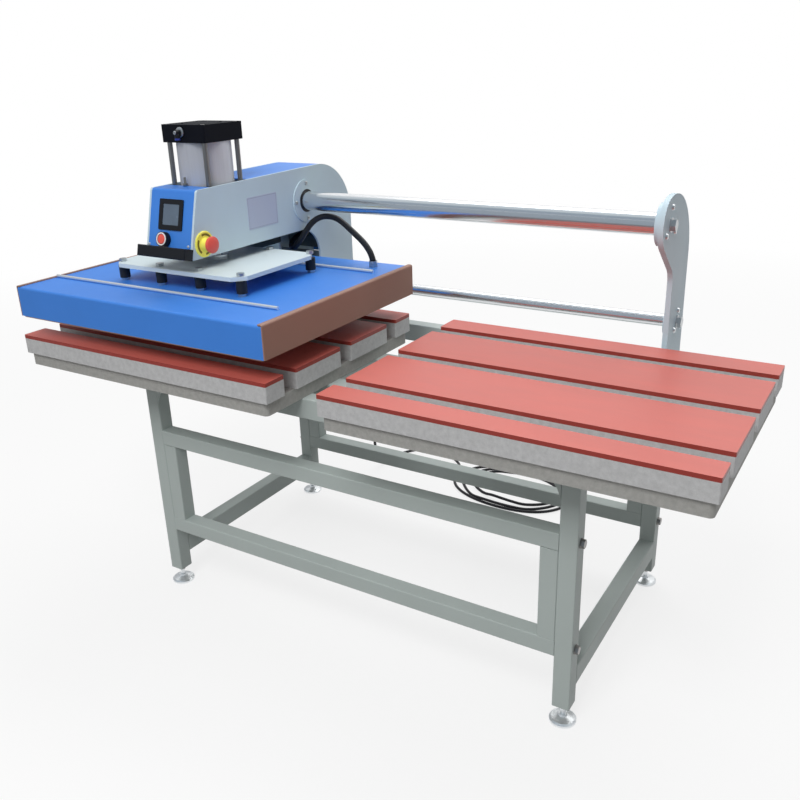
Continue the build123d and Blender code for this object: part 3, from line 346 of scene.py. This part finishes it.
# Screws round each rod: rod centre + reach * (cos a, sin a) on the flange's face.
def addFlangeScrews(settings):
    a = np.radians(settings["angles"])
    faces = {"Right": (1, arm["right"] + arm["flange"]), "Left": (-1, arm["right"] - arm["width"] - arm["flange"])}
    for sideName, (side, face) in faces.items():
        for which in ("upper", "lower"):
            (y, z), reach = arm[which + "Rod"], settings[which + "Reach"]
            seats = np.column_stack([np.full(len(a), face), y + reach * np.cos(a), z + reach * np.sin(a)])
            head = np.array(settings["head"]) * settings[which + "Radius"]
            name = which + "FlangeScrews" + sideName
            screws = turned(name, head, seats, (side, 0, 0), settings["steps"], smooth=False)
            fit(screws, "carriage", "zincSteel")


addFlangeScrews(flangeScrews)

# Sloping front panel: its foot, the ways across it, up it and out of it, and what sits on it as (across, up)
panel = {
    "foot": (-0.455, -0.2575, 0.936),
    "axes": [(1, 0, 0), (0, 0.258424, 0.966032), (0, -0.966032, 0.258424)],
    "screws": [(-0.066, 0.030), (0.0615, 0.0325)],
    "screwRadius": 0.0035,
    "screwHead": [(0, 0), (1, 0), (1, 0.25), (0.8, 0.5), (0.45, 0.62), (0.25, 0.64), (0.2, 0.35), (0, 0.35)],
    "screwSteps": 20,
    "button": (-0.013, 0.044),
    "ring": [
        (0.0122, 0.0150), (0.0122, 0.0158), (0.0128, 0.0164), (0.0148, 0.0164),
        (0.0156, 0.0158), (0.0156, 0.0140), (0.0122, 0.0140), (0.0122, 0.0150),
    ],
    "ringSteps": 40,
}


# Screws and the start button's ring: foot + u * across + v * up.
def addPanelParts(settings):
    across, up, out = np.array(settings["axes"])
    spots = np.array(settings["screws"] + [settings["button"]])
    seats = np.array(settings["foot"]) + spots[:, :1] * across + spots[:, 1:] * up
    head = np.array(settings["screwHead"]) * settings["screwRadius"]
    screws = turned("panelScrews", head, seats[:-1], out, settings["screwSteps"], smooth=False)
    fit(screws, "carriage", "footChrome")
    ring = turned("startButtonRing", settings["ring"], seats[-1], out, settings["ringSteps"])
    fit(ring, "carriage", "paleRing")


addPanelParts(panel)

# Three plain arcs on the emergency stop's yellow ring, as angles in degrees
stopArcs = {
    "centre": (-0.377, -0.210, 0.968),
    "axes": [(0, 1, 0), (0, 0, 1), (1, 0, 0)],
    "arcs": [(28, 112), (148, 232), (268, 352)],
    "inner": 0.0205,
    "outer": 0.0255,
    "thickness": 0.0003,
}
for i, (start, end) in enumerate(stopArcs["arcs"]):
    fit(ringSector(f"stopArc{i + 1}", stopArcs, start, end), "carriage", "stopMarks")

# Blank rating plate on the right side of the arm
ratingPlate = {
    "centre": (arm["right"], 0.01025, 1.012),
    "axes": [(0, 1, 0), (0, 0, 1), (1, 0, 0)],
    "size": (0.1155, 0.080),
    "corner": 0.003,
    "section": [(0, 0), (0, 0.0004), (0.0004, 0.0006)],
}
fit(roundedPlate("ratingPlate", ratingPlate), "carriage", "foilPlate")

# Push-in elbow on the cylinder's cap: its pieces' finishes, steps and profiles as (radius, height), which
# start at the cap's face, or where the elbow turns down
airElbow = {
    "face": (-0.460, -0.1655, 1.217),
    "turnOut": 0.0115,
    "outward": {
        "airNut": ("zincSteel", 24, [
            (0, 0), (0.0112, 0), (0.0118, 0.0006), (0.0118, 0.0034), (0.0108, 0.0044), (0.0080, 0.0050), (0, 0.0056),
        ]),
        "airBody": ("blackPlastic", 24, [
            (0, 0.0054), (0.0062, 0.0054), (0.0064, 0.0062), (0.0064, 0.0150),
            (0.0057, 0.0168), (0.0035, 0.0180), (0, 0.0180),
        ]),
        "airTip": ("zincSteel", 20, [
            (0, 0.0178), (0.0040, 0.0178), (0.0042, 0.0184), (0.0042, 0.0194),
            (0.0034, 0.0200), (0.0022, 0.0200), (0.0020, 0.0190), (0, 0.0190),
        ]),
    },
    "downward": {
        "airDrop": ("blackPlastic", 24, [
            (0, 0.0020), (0.0060, 0.0020), (0.0060, 0.0125), (0.0054, 0.0135), (0, 0.0135),
        ]),
        "airCollar": ("bluePlastic", 24, [
            (0, 0.0130), (0.0062, 0.0130), (0.0067, 0.0138), (0.0067, 0.0168),
            (0.0060, 0.0176), (0.0040, 0.0176), (0.0036, 0.0150), (0, 0.0150),
        ]),
    },
}
elbowSeat = np.array(airElbow["face"]) - [0, airElbow["turnOut"], 0]
for group, seat, axis in (("outward", airElbow["face"], (0, -1, 0)), ("downward", elbowSeat, (0, 0, -1))):
    for name, (finish, steps, profile) in airElbow[group].items():
        fit(turned(name, profile, seat, axis, steps), "carriage", finish, replaced=("air_fitting",))

# Breather pin on the arm's sloping top
breather = {
    "foot": (-0.4575, -0.1715, 1.09375),
    "axis": (0, -0.01702, 1),
    "profile": [
        (0, 0), (0.0052, 0), (0.0055, 0.0006), (0.0055, 0.0060), (0.0048, 0.0068), (0.0030, 0.0070),
        (0.0030, 0.0195), (0.0024, 0.0208), (0, 0.0210),
    ],
    "steps": 20,
}
pin = turned("breather", breather["profile"], breather["foot"], breather["axis"], breather["steps"])
fit(pin, "carriage", "darkSteel", replaced=("air_fitting",))

# Front wall of the arm's column, let in between the side plates under the valve box, in the arm paint darkened as
# painted shade
columnWall = {
    "centre": (-0.455, 0.2480, 0.7750),
    "axes": [(1, 0, 0), (0, 0, 1), (0, -1, 0)],
    "size": (0.1376, 0.1776),
    "corner": 0.002,
    "section": [(0, 0), (0, 0.0016), (0.0004, 0.0020)],
}
fit(roundedPlate("columnWall", columnWall), "carriage", "armPaintInShade")

# The column's cheek, which closes the far side below the arm's belly: a plate in the arm paint darkened as painted
# shade, standing for the shade there
bellyCheek = {
    "centre": (-0.5238, 0.1675, 0.9130),
    "axes": [(0, 1, 0), (0, 0, 1), (1, 0, 0)],
    "size": (0.1510, 0.0700),
    "corner": 0.006,
    "section": [(0, 0), (0, 0.0026), (0.0004, 0.0030)],
}
fit(roundedPlate("bellyCheek", bellyCheek), "carriage", "armPaintInShade")

# The insulation's edge that shows below the cover, as (offset, height) round the platen
insulationEdge = {
    "centre": (-0.455, -0.0975),
    "size": (0.7800, 0.5980),
    "corner": 0.006,
    "section": [(0.0003, 0.7814), (0.0036, 0.7814), (0.0043, 0.7822), (0.0043, 0.7838), (0.0003, 0.7838)],
    "steps": 8,
}


# A level frame with rounded corners: corner centre + (radius + offset) * (cos a, sin a).
def frameRound(name, look):
    heart, rim = roundedCorners(look["size"], look["corner"], look["steps"])
    offsets, heights = np.array(look["section"]).T
    middle = np.array(look["centre"]) + heart
    flat = middle[:, None] + (look["corner"] + offsets)[None, :, None] * rim[:, None]
    lift = np.broadcast_to(heights[None, :, None], flat.shape[:2] + (1,))
    faces = gridFaces(len(heart), len(offsets), True, True)
    return meshPiece(name, np.concatenate([flat, lift], -1), faces, smooth=False)


fit(frameRound("insulationEdge", insulationEdge), "platen", "woolEdge")
print("new pieces made:", len(worn))


# A node's socket: sums written on it add Math nodes.
class Wire:
    def __init__(self, paint, socket):
        self.paint, self.socket = paint, socket

    def maths(self, operation, first, second=0.0):
        return self.paint.add("ShaderNodeMath", {"operation": operation}, {0: first, 1: second})

    def __add__(self, other):
        return self.maths("ADD", self, other)

    def __radd__(self, other):
        return self.maths("ADD", other, self)

    def __sub__(self, other):
        return self.maths("SUBTRACT", self, other)

    def __rsub__(self, other):
        return self.maths("SUBTRACT", other, self)

    def __mul__(self, other):
        return self.maths("MULTIPLY", self, other)

    def __rmul__(self, other):
        return self.maths("MULTIPLY", other, self)

    def __abs__(self):
        return self.maths("ABSOLUTE", self)

    def most(self, other):
        return self.maths("MAXIMUM", self, other)

    def least(self, other):
        return self.maths("MINIMUM", self, other)


# The nodes of one material, or of the world.
class Paint:
    def __init__(self, owner, coordinates="Object"):
        owner.use_nodes = True
        self.owner, self.tree = owner, owner.node_tree
        self.tree.nodes.clear()
        self.place = self.add("ShaderNodeTexCoord", out=coordinates)

    def add(self, kind, settings=None, sockets=None, out=0):
        node = self.tree.nodes.new(kind)
        for key, value in (settings or {}).items():
            setattr(node, key, value)
        for key, value in (sockets or {}).items():
            if isinstance(value, Wire):
                self.tree.links.new(value.socket, node.inputs[key])
            else:
                node.inputs[key].default_value = value
        return Wire(self, node.outputs[out]) if node.outputs else None

    def noise(self, scale, detail, rough, place=None):
        sockets = {"Vector": place or self.place, "Scale": scale, "Detail": detail, "Roughness": rough}
        return self.add("ShaderNodeTexNoise", {}, sockets)

    def ramp(self, value, low, high):
        return self.add("ShaderNodeMapRange", {}, {0: value, 1: low, 2: high})

    def stretch(self, scale):
        return self.add("ShaderNodeMapping", {}, {"Vector": self.place, "Scale": scale})

    def mix(self, share, first, second):
        return self.add("ShaderNodeMix", {"data_type": "RGBA"}, {0: share, 6: first, 7: second}, out=2)

    def bump(self, height, distance, strength):
        return self.add("ShaderNodeBump", {}, {"Height": height, "Distance": distance, "Strength": strength})

    def end(self, shader, kind="ShaderNodeOutputMaterial"):
        self.add(kind, {}, {"Surface": shader})
        return self.owner

    def finish(self, sockets):
        return self.end(self.add("ShaderNodeBsdfPrincipled", {}, sockets))


def newPaint(name):
    return Paint(bpy.data.materials.new(name))


# A colour with its opacity, lightened or darkened by a factor and held at 1.
def rgba(colour, factor=1.0):
    return tuple(min(1.0, c * factor) for c in colour) + (1.0,)


white = rgba((1.0, 1.0, 1.0))

# Finishes: a colour is in linear light, a grain or peel in features per metre, a depth in metres, and gloss
# is the specular level.
paints = {
    "standPaint": {
        "slot": "stand_paint", "colour": (0.50, 0.56, 0.54), "rough": 0.44, "gloss": 0.35,
        "peel": 900, "depth": 0.00005, "dust": 0.10,
    },
    "armPaint": {
        "slot": "arm_paint", "colour": (0.61, 0.75, 0.83), "rough": 0.42, "gloss": 0.35,
        "peel": 900, "depth": 0.00005, "dust": 0.05,
    },
    "mountPaint": {
        "slot": "mount_paint", "colour": (0.70, 0.80, 0.83), "rough": 0.40, "gloss": 0.35,
        "peel": 900, "depth": 0.00004, "dust": 0.05,
    },
    "bluePaint": {
        "slot": "blue_paint", "colour": (0.055, 0.250, 0.79), "rough": 0.40, "gloss": 0.45,
        "peel": 1500, "depth": 0.00006, "dust": 0.03,
    },
    # the arm's paint darkened as painted shade, for faces inside the arm's column
    "armPaintInShade": {
        "slot": "inner_paint", "colour": (0.15, 0.20, 0.215), "rough": 0.55, "gloss": 0.25,
        "peel": 900, "depth": 0.00005, "dust": 0.05,
    },
    "brownLaminate": {
        "slot": "brown_laminate", "colour": (0.36, 0.215, 0.17), "rough": 0.50, "gloss": 0.25,
        "peel": 700, "depth": 0.00004, "dust": 0.06,
    },
}
dustColour = rgba((0.72, 0.71, 0.69))


# Powder coat: a fine orange peel of two noises, and a slow change of tone with a few specks of dust.
def powderCoat(name, look):
    paint = newPaint(name)
    fine = paint.noise(scale=look["peel"], detail=3.0, rough=0.55)
    coarse = paint.noise(scale=look["peel"] * 0.28, detail=1.0, rough=0.5)
    tone = paint.ramp(paint.noise(scale=5.0, detail=4.0, rough=0.6), low=0.3, high=0.7)
    specks = paint.ramp(paint.noise(scale=260.0, detail=2.0, rough=0.7), low=0.66, high=0.78)
    smear = paint.noise(scale=14.0, detail=5.0, rough=0.65)
    colour = paint.mix(tone * 0.5, rgba(look["colour"], 0.93), rgba(look["colour"], 1.05))
    return paint.finish({
        "Base Color": paint.mix(specks * look["dust"], colour, dustColour),
        "Roughness": look["rough"] - 0.06 + smear * 0.14,
        "Specular IOR Level": look["gloss"],
        "Normal": paint.bump(fine * 0.7 + coarse * 0.3, look["depth"], strength=0.8),
    })


castings = {
    "slatCasting": {
        "slot": "cast_aluminium", "dark": (0.53, 0.53, 0.53), "light": (0.66, 0.66, 0.66),
        "metal": 0.15, "rough": 0.60, "gloss": 0.3, "grain": 640, "depth": 0.00025,
    },
    "trayCasting": {
        "slot": "tray", "dark": (0.38, 0.375, 0.355), "light": (0.49, 0.485, 0.46),
        "metal": 0.15, "rough": 0.64, "gloss": 0.3, "grain": 520, "depth": 0.0003,
    },
}


# Sand casting: pits from a cell pattern over a coarse and a fine noise, with a tone that changes at random with the two
# noises.
def sandCasting(name, look):
    paint = newPaint(name)
    grain = paint.noise(scale=look["grain"], detail=5.0, rough=0.7)
    waves = paint.noise(scale=95.0, detail=4.0, rough=0.6)
    cells = paint.add("ShaderNodeTexVoronoi", {"feature": "F1"}, {"Vector": paint.place, "Scale": 300.0})
    pitted = paint.ramp(cells, low=0.05, high=0.30)
    tone = paint.ramp(waves * 0.55 + grain * 0.45, low=0.36, high=0.64)
    return paint.finish({
        "Base Color": paint.mix(tone, rgba(look["dark"]), rgba(look["light"])),
        "Metallic": look["metal"],
        "Roughness": look["rough"] - 0.10 + grain * 0.22,
        "Specular IOR Level": look["gloss"],
        "Normal": paint.bump(grain * 0.5 + waves * 0.9 + pitted * 0.3, look["depth"], strength=0.7),
    })


metals = {
    "rodChrome": {
        "slot": "rod_chrome", "colour": (0.80, 0.82, 0.84), "metal": 1.0, "rough": 0.19,
        "lines": (260.0, 900.0, 900.0), "depth": 0.000002,
    },
    "footChrome": {
        "slot": "foot_chrome", "colour": (0.90, 0.93, 0.95), "metal": 0.75, "rough": 0.30,
        "lines": (120.0, 120.0, 500.0), "depth": 0.00002,
    },
    "zincSteel": {
        "slot": "zinc_steel", "colour": (0.60, 0.62, 0.63), "metal": 1.0, "rough": 0.32,
        "lines": (500.0, 500.0, 500.0), "depth": 0.00002,
    },
    "darkSteel": {
        "slot": "dark_steel", "colour": (0.34, 0.33, 0.32), "metal": 1.0, "rough": 0.34,
        "lines": (500.0, 500.0, 60.0), "depth": 0.00002,
    },
    "bearingSteel": {
        "slot": "bearing_steel", "colour": (0.52, 0.52, 0.53), "metal": 1.0, "rough": 0.25,
        "lines": (60.0, 700.0, 700.0), "depth": 0.00002,
    },
    "drawnTube": {
        "slot": "drawn_aluminium", "colour": (0.70, 0.71, 0.75), "metal": 0.55, "rough": 0.55,
        "lines": (260.0, 260.0, 8.0), "depth": 0.00002,
    },
}


# Ground or drawn metal: noise pulled out along the machining, in the gloss and the relief.
def workedMetal(name, look):
    paint = newPaint(name)
    lines = paint.noise(scale=1.0, detail=3.0, rough=0.6, place=paint.stretch(look["lines"]))
    hands = paint.ramp(paint.noise(scale=16.0, detail=4.0, rough=0.6), low=0.45, high=0.75)
    return paint.finish({
        "Base Color": paint.mix(lines, rgba(look["colour"], 0.90), rgba(look["colour"], 1.06)),
        "Metallic": look["metal"],
        "Roughness": look["rough"] - 0.04 + lines * 0.10 + hands * 0.07,
        "Normal": paint.bump(lines, look["depth"], strength=0.6),
    })


mouldings = {
    "blackAnodised": {
        "slot": "black_anodised", "colour": (0.007, 0.008, 0.012),
        "rough": 0.55, "gloss": 0.08, "grain": 700, "depth": 0.00003,
    },
    "blackPlastic": {
        "slot": "black_plastic", "colour": (0.012, 0.013, 0.016),
        "rough": 0.42, "gloss": 0.25, "grain": 1100, "depth": 0.00005,
    },
    "blackRubber": {
        "slot": "black_rubber", "colour": (0.014, 0.015, 0.018),
        "rough": 0.46, "gloss": 0.35, "grain": 900, "depth": 0.00004,
    },
    "cordSheath": {
        "slot": "cord_rubber", "colour": (0.010, 0.010, 0.013),
        "rough": 0.36, "gloss": 0.35, "grain": 1500, "depth": 0.00003,
    },
    "screenFilm": {
        "slot": "screen_grey", "colour": (0.12, 0.16, 0.21),
        "rough": 0.20, "gloss": 0.30, "grain": 60, "depth": 0.000002,
    },
    "redPlastic": {
        "slot": "red_plastic", "colour": (0.82, 0.110, 0.080),
        "rough": 0.28, "gloss": 0.45, "grain": 200, "depth": 0.00001,
    },
    "yellowPlastic": {
        "slot": "yellow_plastic", "colour": (1.0, 0.94, 0.14),
        "rough": 0.32, "gloss": 0.40, "grain": 200, "depth": 0.00001,
    },
    "ceramicWool": {
        "slot": "ceramic_wool", "colour": (0.62, 0.55, 0.42),
        "rough": 0.90, "gloss": 0.10, "grain": 260, "depth": 0.0008,
    },
    "bluePlastic": {"colour": (0.03, 0.05, 0.30), "rough": 0.35, "gloss": 0.40, "grain": 300, "depth": 0.00001},
    "woolEdge": {"colour": (0.42, 0.26, 0.17), "rough": 0.85, "gloss": 0.15, "grain": 300, "depth": 0.0002},
    "paleRing": {"colour": (0.86, 0.82, 0.83), "rough": 0.30, "gloss": 0.40, "grain": 300, "depth": 0.00001},
    "stopMarks": {"colour": (0.20, 0.17, 0.025), "rough": 0.45, "gloss": 0.30, "grain": 300, "depth": 0.00001},
}


# Moulded or dipped surface: fine grain, with slightly duller patches where it is handled.
def moulded(name, look):
    paint = newPaint(name)
    grain = paint.noise(scale=look["grain"], detail=2.0, rough=0.6)
    hands = paint.ramp(paint.noise(scale=22.0, detail=5.0, rough=0.6), low=0.42, high=0.75)
    return paint.finish({
        "Base Color": paint.mix(hands * 0.5, rgba(look["colour"]), rgba(look["colour"], 1.25)),
        "Roughness": look["rough"] + hands * 0.10,
        "Specular IOR Level": look["gloss"],
        "Normal": paint.bump(grain, look["depth"], strength=0.7),
    })


sheets = {
    "siliconeSheet": {
        # the side colour is painted shade, darker than the top
        "slot": "red_silicone", "top": (0.59, 0.125, 0.098), "deep": (0.34, 0.040, 0.028),
        "rough": 0.36, "gloss": 0.7, "streaks": (0.6, 2.2, 1.0), "grain": 1400, "depth": 0.00008,
    },
}


# Silicone sponge sheet: a fine skin with a few rubbed streaks; faces that turn away from up, such as the cut edge, take
# a darker colour as painted shade.
def spongeSheet(name, look):
    paint = newPaint(name)
    facing = paint.add("ShaderNodeNewGeometry", out="Normal")
    upward = paint.add("ShaderNodeSeparateXYZ", {}, {0: facing}, out="Z")
    streaks = paint.noise(scale=9.0, detail=6.0, rough=0.62, place=paint.stretch(look["streaks"]))
    skin = paint.noise(scale=look["grain"], detail=2.0, rough=0.6)
    tone = paint.ramp(streaks, low=0.34, high=0.70)
    top = paint.mix(tone * 0.6, rgba(look["top"], 0.95), rgba(look["top"], 1.10))
    return paint.finish({
        # painted shade: faces that turn from up blend to the darker side colour
        "Base Color": paint.mix(paint.ramp(upward, low=0.2, high=0.9), rgba(look["deep"]), top),
        "Roughness": look["rough"] + streaks * 0.12,
        "Specular IOR Level": look["gloss"],
        "Normal": paint.bump(skin, look["depth"], strength=0.6),
    })


foils = {
    "foilPlate": {
        "ground": (0.50, 0.56, 0.70), "edge": (0.30, 0.34, 0.46),
        "centre": ratingPlate["centre"][1:], "half": (0.0555, 0.0378),
        "lineStart": (0.0, 0.0004), "lineEnd": (0.0010, 0.0014), "rough": 0.34, "depth": 0.00001,
    },
}


# Bare rating plate: satin foil with a line just inside its edge, where half - |place - centre| is small.
def satinFoil(name, look):
    paint = newPaint(name)
    parts = [paint.add("ShaderNodeSeparateXYZ", {}, {0: paint.place}, out=axis) for axis in ("Y", "Z")]
    fromSide, fromTop = (
        half - abs(part - middle) for part, middle, half in zip(parts, look["centre"], look["half"])
    )
    near = fromSide.least(fromTop)
    line = paint.ramp(near, *look["lineStart"]) * (1.0 - paint.ramp(near, *look["lineEnd"]))
    film = paint.noise(scale=300.0, detail=2.0, rough=0.5)
    return paint.finish({
        "Base Color": paint.mix(line, rgba(look["ground"]), rgba(look["edge"])),
        "Roughness": look["rough"] + film * 0.10,
        "Normal": paint.bump(film, look["depth"], strength=0.5),
    })


made, bySlot = {}, {}
finishes = (
    (paints, powderCoat), (castings, sandCasting), (metals, workedMetal),
    (mouldings, moulded), (sheets, spongeSheet), (foils, satinFoil),
)
for looks, maker in finishes:
    for name, look in looks.items():
        made[name] = bySlot[look.get("slot")] = maker(name, look)

# CAD nodes that take another finish than their slot's
otherFinish = {
    "table_tray_left": "trayCasting",
    "table_tray_right": "trayCasting",
    # the valve box takes the darkened arm paint as painted shade
    "valve_box": "armPaintInShade",
    "stand_fasteners": "darkSteel",
    "trim_rods": "footChrome",
}
for row in frame["record"]["subparts"]:
    name = row["node"]
    node = frame["nodes"][name]
    node.material_slots[0].material = made[otherFinish[name]] if name in otherFinish else bySlot[row["material_slot"]]
for piece, finish in worn:
    piece.data.materials.append(made[finish])
print("finishes laid on:", len(made))

# Floor, light and background
studio = {
    "floorSize": 60.0,
    "paper": (0.90, 0.90, 0.90),
    "bounce": (0.34, 0.34, 0.34),
    # the share of plain white in the seen floor, near the press and from some metres off
    "glowNear": 0.76,
    "glowReach": (1.4, 5.0),
    "skyLevel": 0.34,
    "skySlope": (-0.14, -0.04, 0.14),
    "lamps": [
        {"place": (0.1, 2.1, 4.3), "target": (0.0, 0.0, 0.6), "size": (4.5, 2.4), "watts": 86.0, "mirrored": True},
        {"place": (0.45, -2.7, 3.6), "target": (-0.25, 0.0, 0.8), "size": (1.6, 1.6), "watts": 82.0, "mirrored": False},
    ],
    # grey boards that only polished faces see: centre, the two half sides, colour
    "boards": [
        ((-0.5, -4.6, 2.0), (6.0, 0.0, 0.0), (0.0, 0.0, 2.4), (0.33, 0.38, 0.43)),
        ((-0.5, -3.0, 4.6), (6.0, 0.0, 0.0), (0.0, 1.6, 0.0), (0.32, 0.38, 0.44)),
        ((-0.5, -0.3, 4.6), (6.0, 0.0, 0.0), (0.0, 1.1, 0.0), (0.60, 0.66, 0.70)),
        ((-0.5, 7.0, 0.9), (9.0, 0.0, 0.0), (0.0, 0.0, 0.9), (0.42, 0.43, 0.44)),
        ((-0.5, -2.75, 0.04), (6.0, 0.0, 0.0), (0.0, 1.85, 0.0), (0.20, 0.19, 0.20)),
        ((5.0, 0.5, 1.8), (0.0, 5.1, 0.0), (0.0, 0.0, 2.2), (0.16, 0.18, 0.21)),
        ((-5.0, 0.5, 1.8), (0.0, 5.1, 0.0), (0.0, 0.0, 2.2), (0.36, 0.37, 0.39)),
    ],
}


def stageSquare(name, corners, material):
    mesh = bpy.data.meshes.new(name)
    mesh.from_pydata(corners, [], [(0, 1, 2, 3)])
    mesh.materials.append(material)
    piece = bpy.data.objects.new(name, mesh)
    scene.collection.objects.link(piece)
    return piece


# 1 for the rays that look at a surface directly or in a mirror, and 0 for those that carry light.
def seenRays(paint):
    camera, glossy, through = (
        paint.add("ShaderNodeLightPath", out=ray) for ray in ("Is Camera Ray", "Is Glossy Ray", "Is Transmission Ray")
    )
    return camera.most(glossy).most(through)


# The floor glows where it is seen, more so further away: share = near + ramp(distance) * (1 - near).
def addFloor(settings):
    paint = newPaint("floorPaper")
    seen = seenRays(paint)
    away = paint.add("ShaderNodeVectorMath", {"operation": "LENGTH"}, {0: paint.place}, out="Value")
    share = settings["glowNear"] + paint.ramp(away, *settings["glowReach"]) * (1.0 - settings["glowNear"])
    colour = paint.mix(seen, rgba(settings["bounce"]), rgba(settings["paper"]))
    paper = paint.add("ShaderNodeBsdfDiffuse", {}, {"Color": colour})
    glow = paint.add("ShaderNodeEmission", {}, {"Color": white, "Strength": 1.0})
    material = paint.end(paint.add("ShaderNodeMixShader", {}, {0: seen * share, 1: paper, 2: glow}))
    half = settings["floorSize"] / 2
    stageSquare("floor", [(-half, -half, 0), (half, -half, 0), (half, half, 0), (-half, half, 0)], material)


# The sky that lights the press is dimmer than the one that is seen, and falls off to the right:
# strength = level + slope . direction
def addSky(settings):
    scene.world = bpy.data.worlds.new("sky")
    paint = Paint(scene.world, "Generated")
    product = {"operation": "DOT_PRODUCT"}
    slope = paint.add("ShaderNodeVectorMath", product, {0: paint.place, 1: settings["skySlope"]}, out="Value")
    lit = slope + settings["skyLevel"]
    strength = paint.add("ShaderNodeMapRange", {}, {0: seenRays(paint), 3: lit, 4: 1.0})
    sky = paint.add("ShaderNodeBackground", {}, {"Color": white, "Strength": strength})
    paint.end(sky, "ShaderNodeOutputWorld")


def addLamps(settings):
    for i, look in enumerate(settings["lamps"]):
        data = bpy.data.lights.new(f"lamp{i + 1}", "AREA")
        data.shape, data.size, data.size_y, data.energy = "RECTANGLE", *look["size"], look["watts"]
        lamp = bpy.data.objects.new(data.name, data)
        lamp.visible_glossy = look["mirrored"]
        aim = (Vector(look["target"]) - Vector(look["place"])).to_track_quat("-Z", "Y").to_matrix().to_4x4()
        lamp.matrix_world = Matrix.Translation(look["place"]) @ aim
        scene.collection.objects.link(lamp)


def addBoards(settings):
    for i, (centre, across, along, colour) in enumerate(settings["boards"]):
        middle, side, rise = np.array([centre, across, along])
        corners = [middle - side - rise, middle + side - rise, middle + side + rise, middle - side + rise]
        paint = newPaint(f"boardCloth{i + 1}")
        cloth = paint.end(paint.add("ShaderNodeEmission", {}, {"Color": rgba(colour), "Strength": 1.0}))
        board = stageSquare(f"board{i + 1}", corners, cloth)
        board.visible_camera = board.visible_diffuse = board.visible_shadow = False


addFloor(studio)
addSky(studio)
addLamps(studio)
addBoards(studio)
scene.view_settings.view_transform = "Standard"
print("studio lit")

bpy.context.view_layer.update()
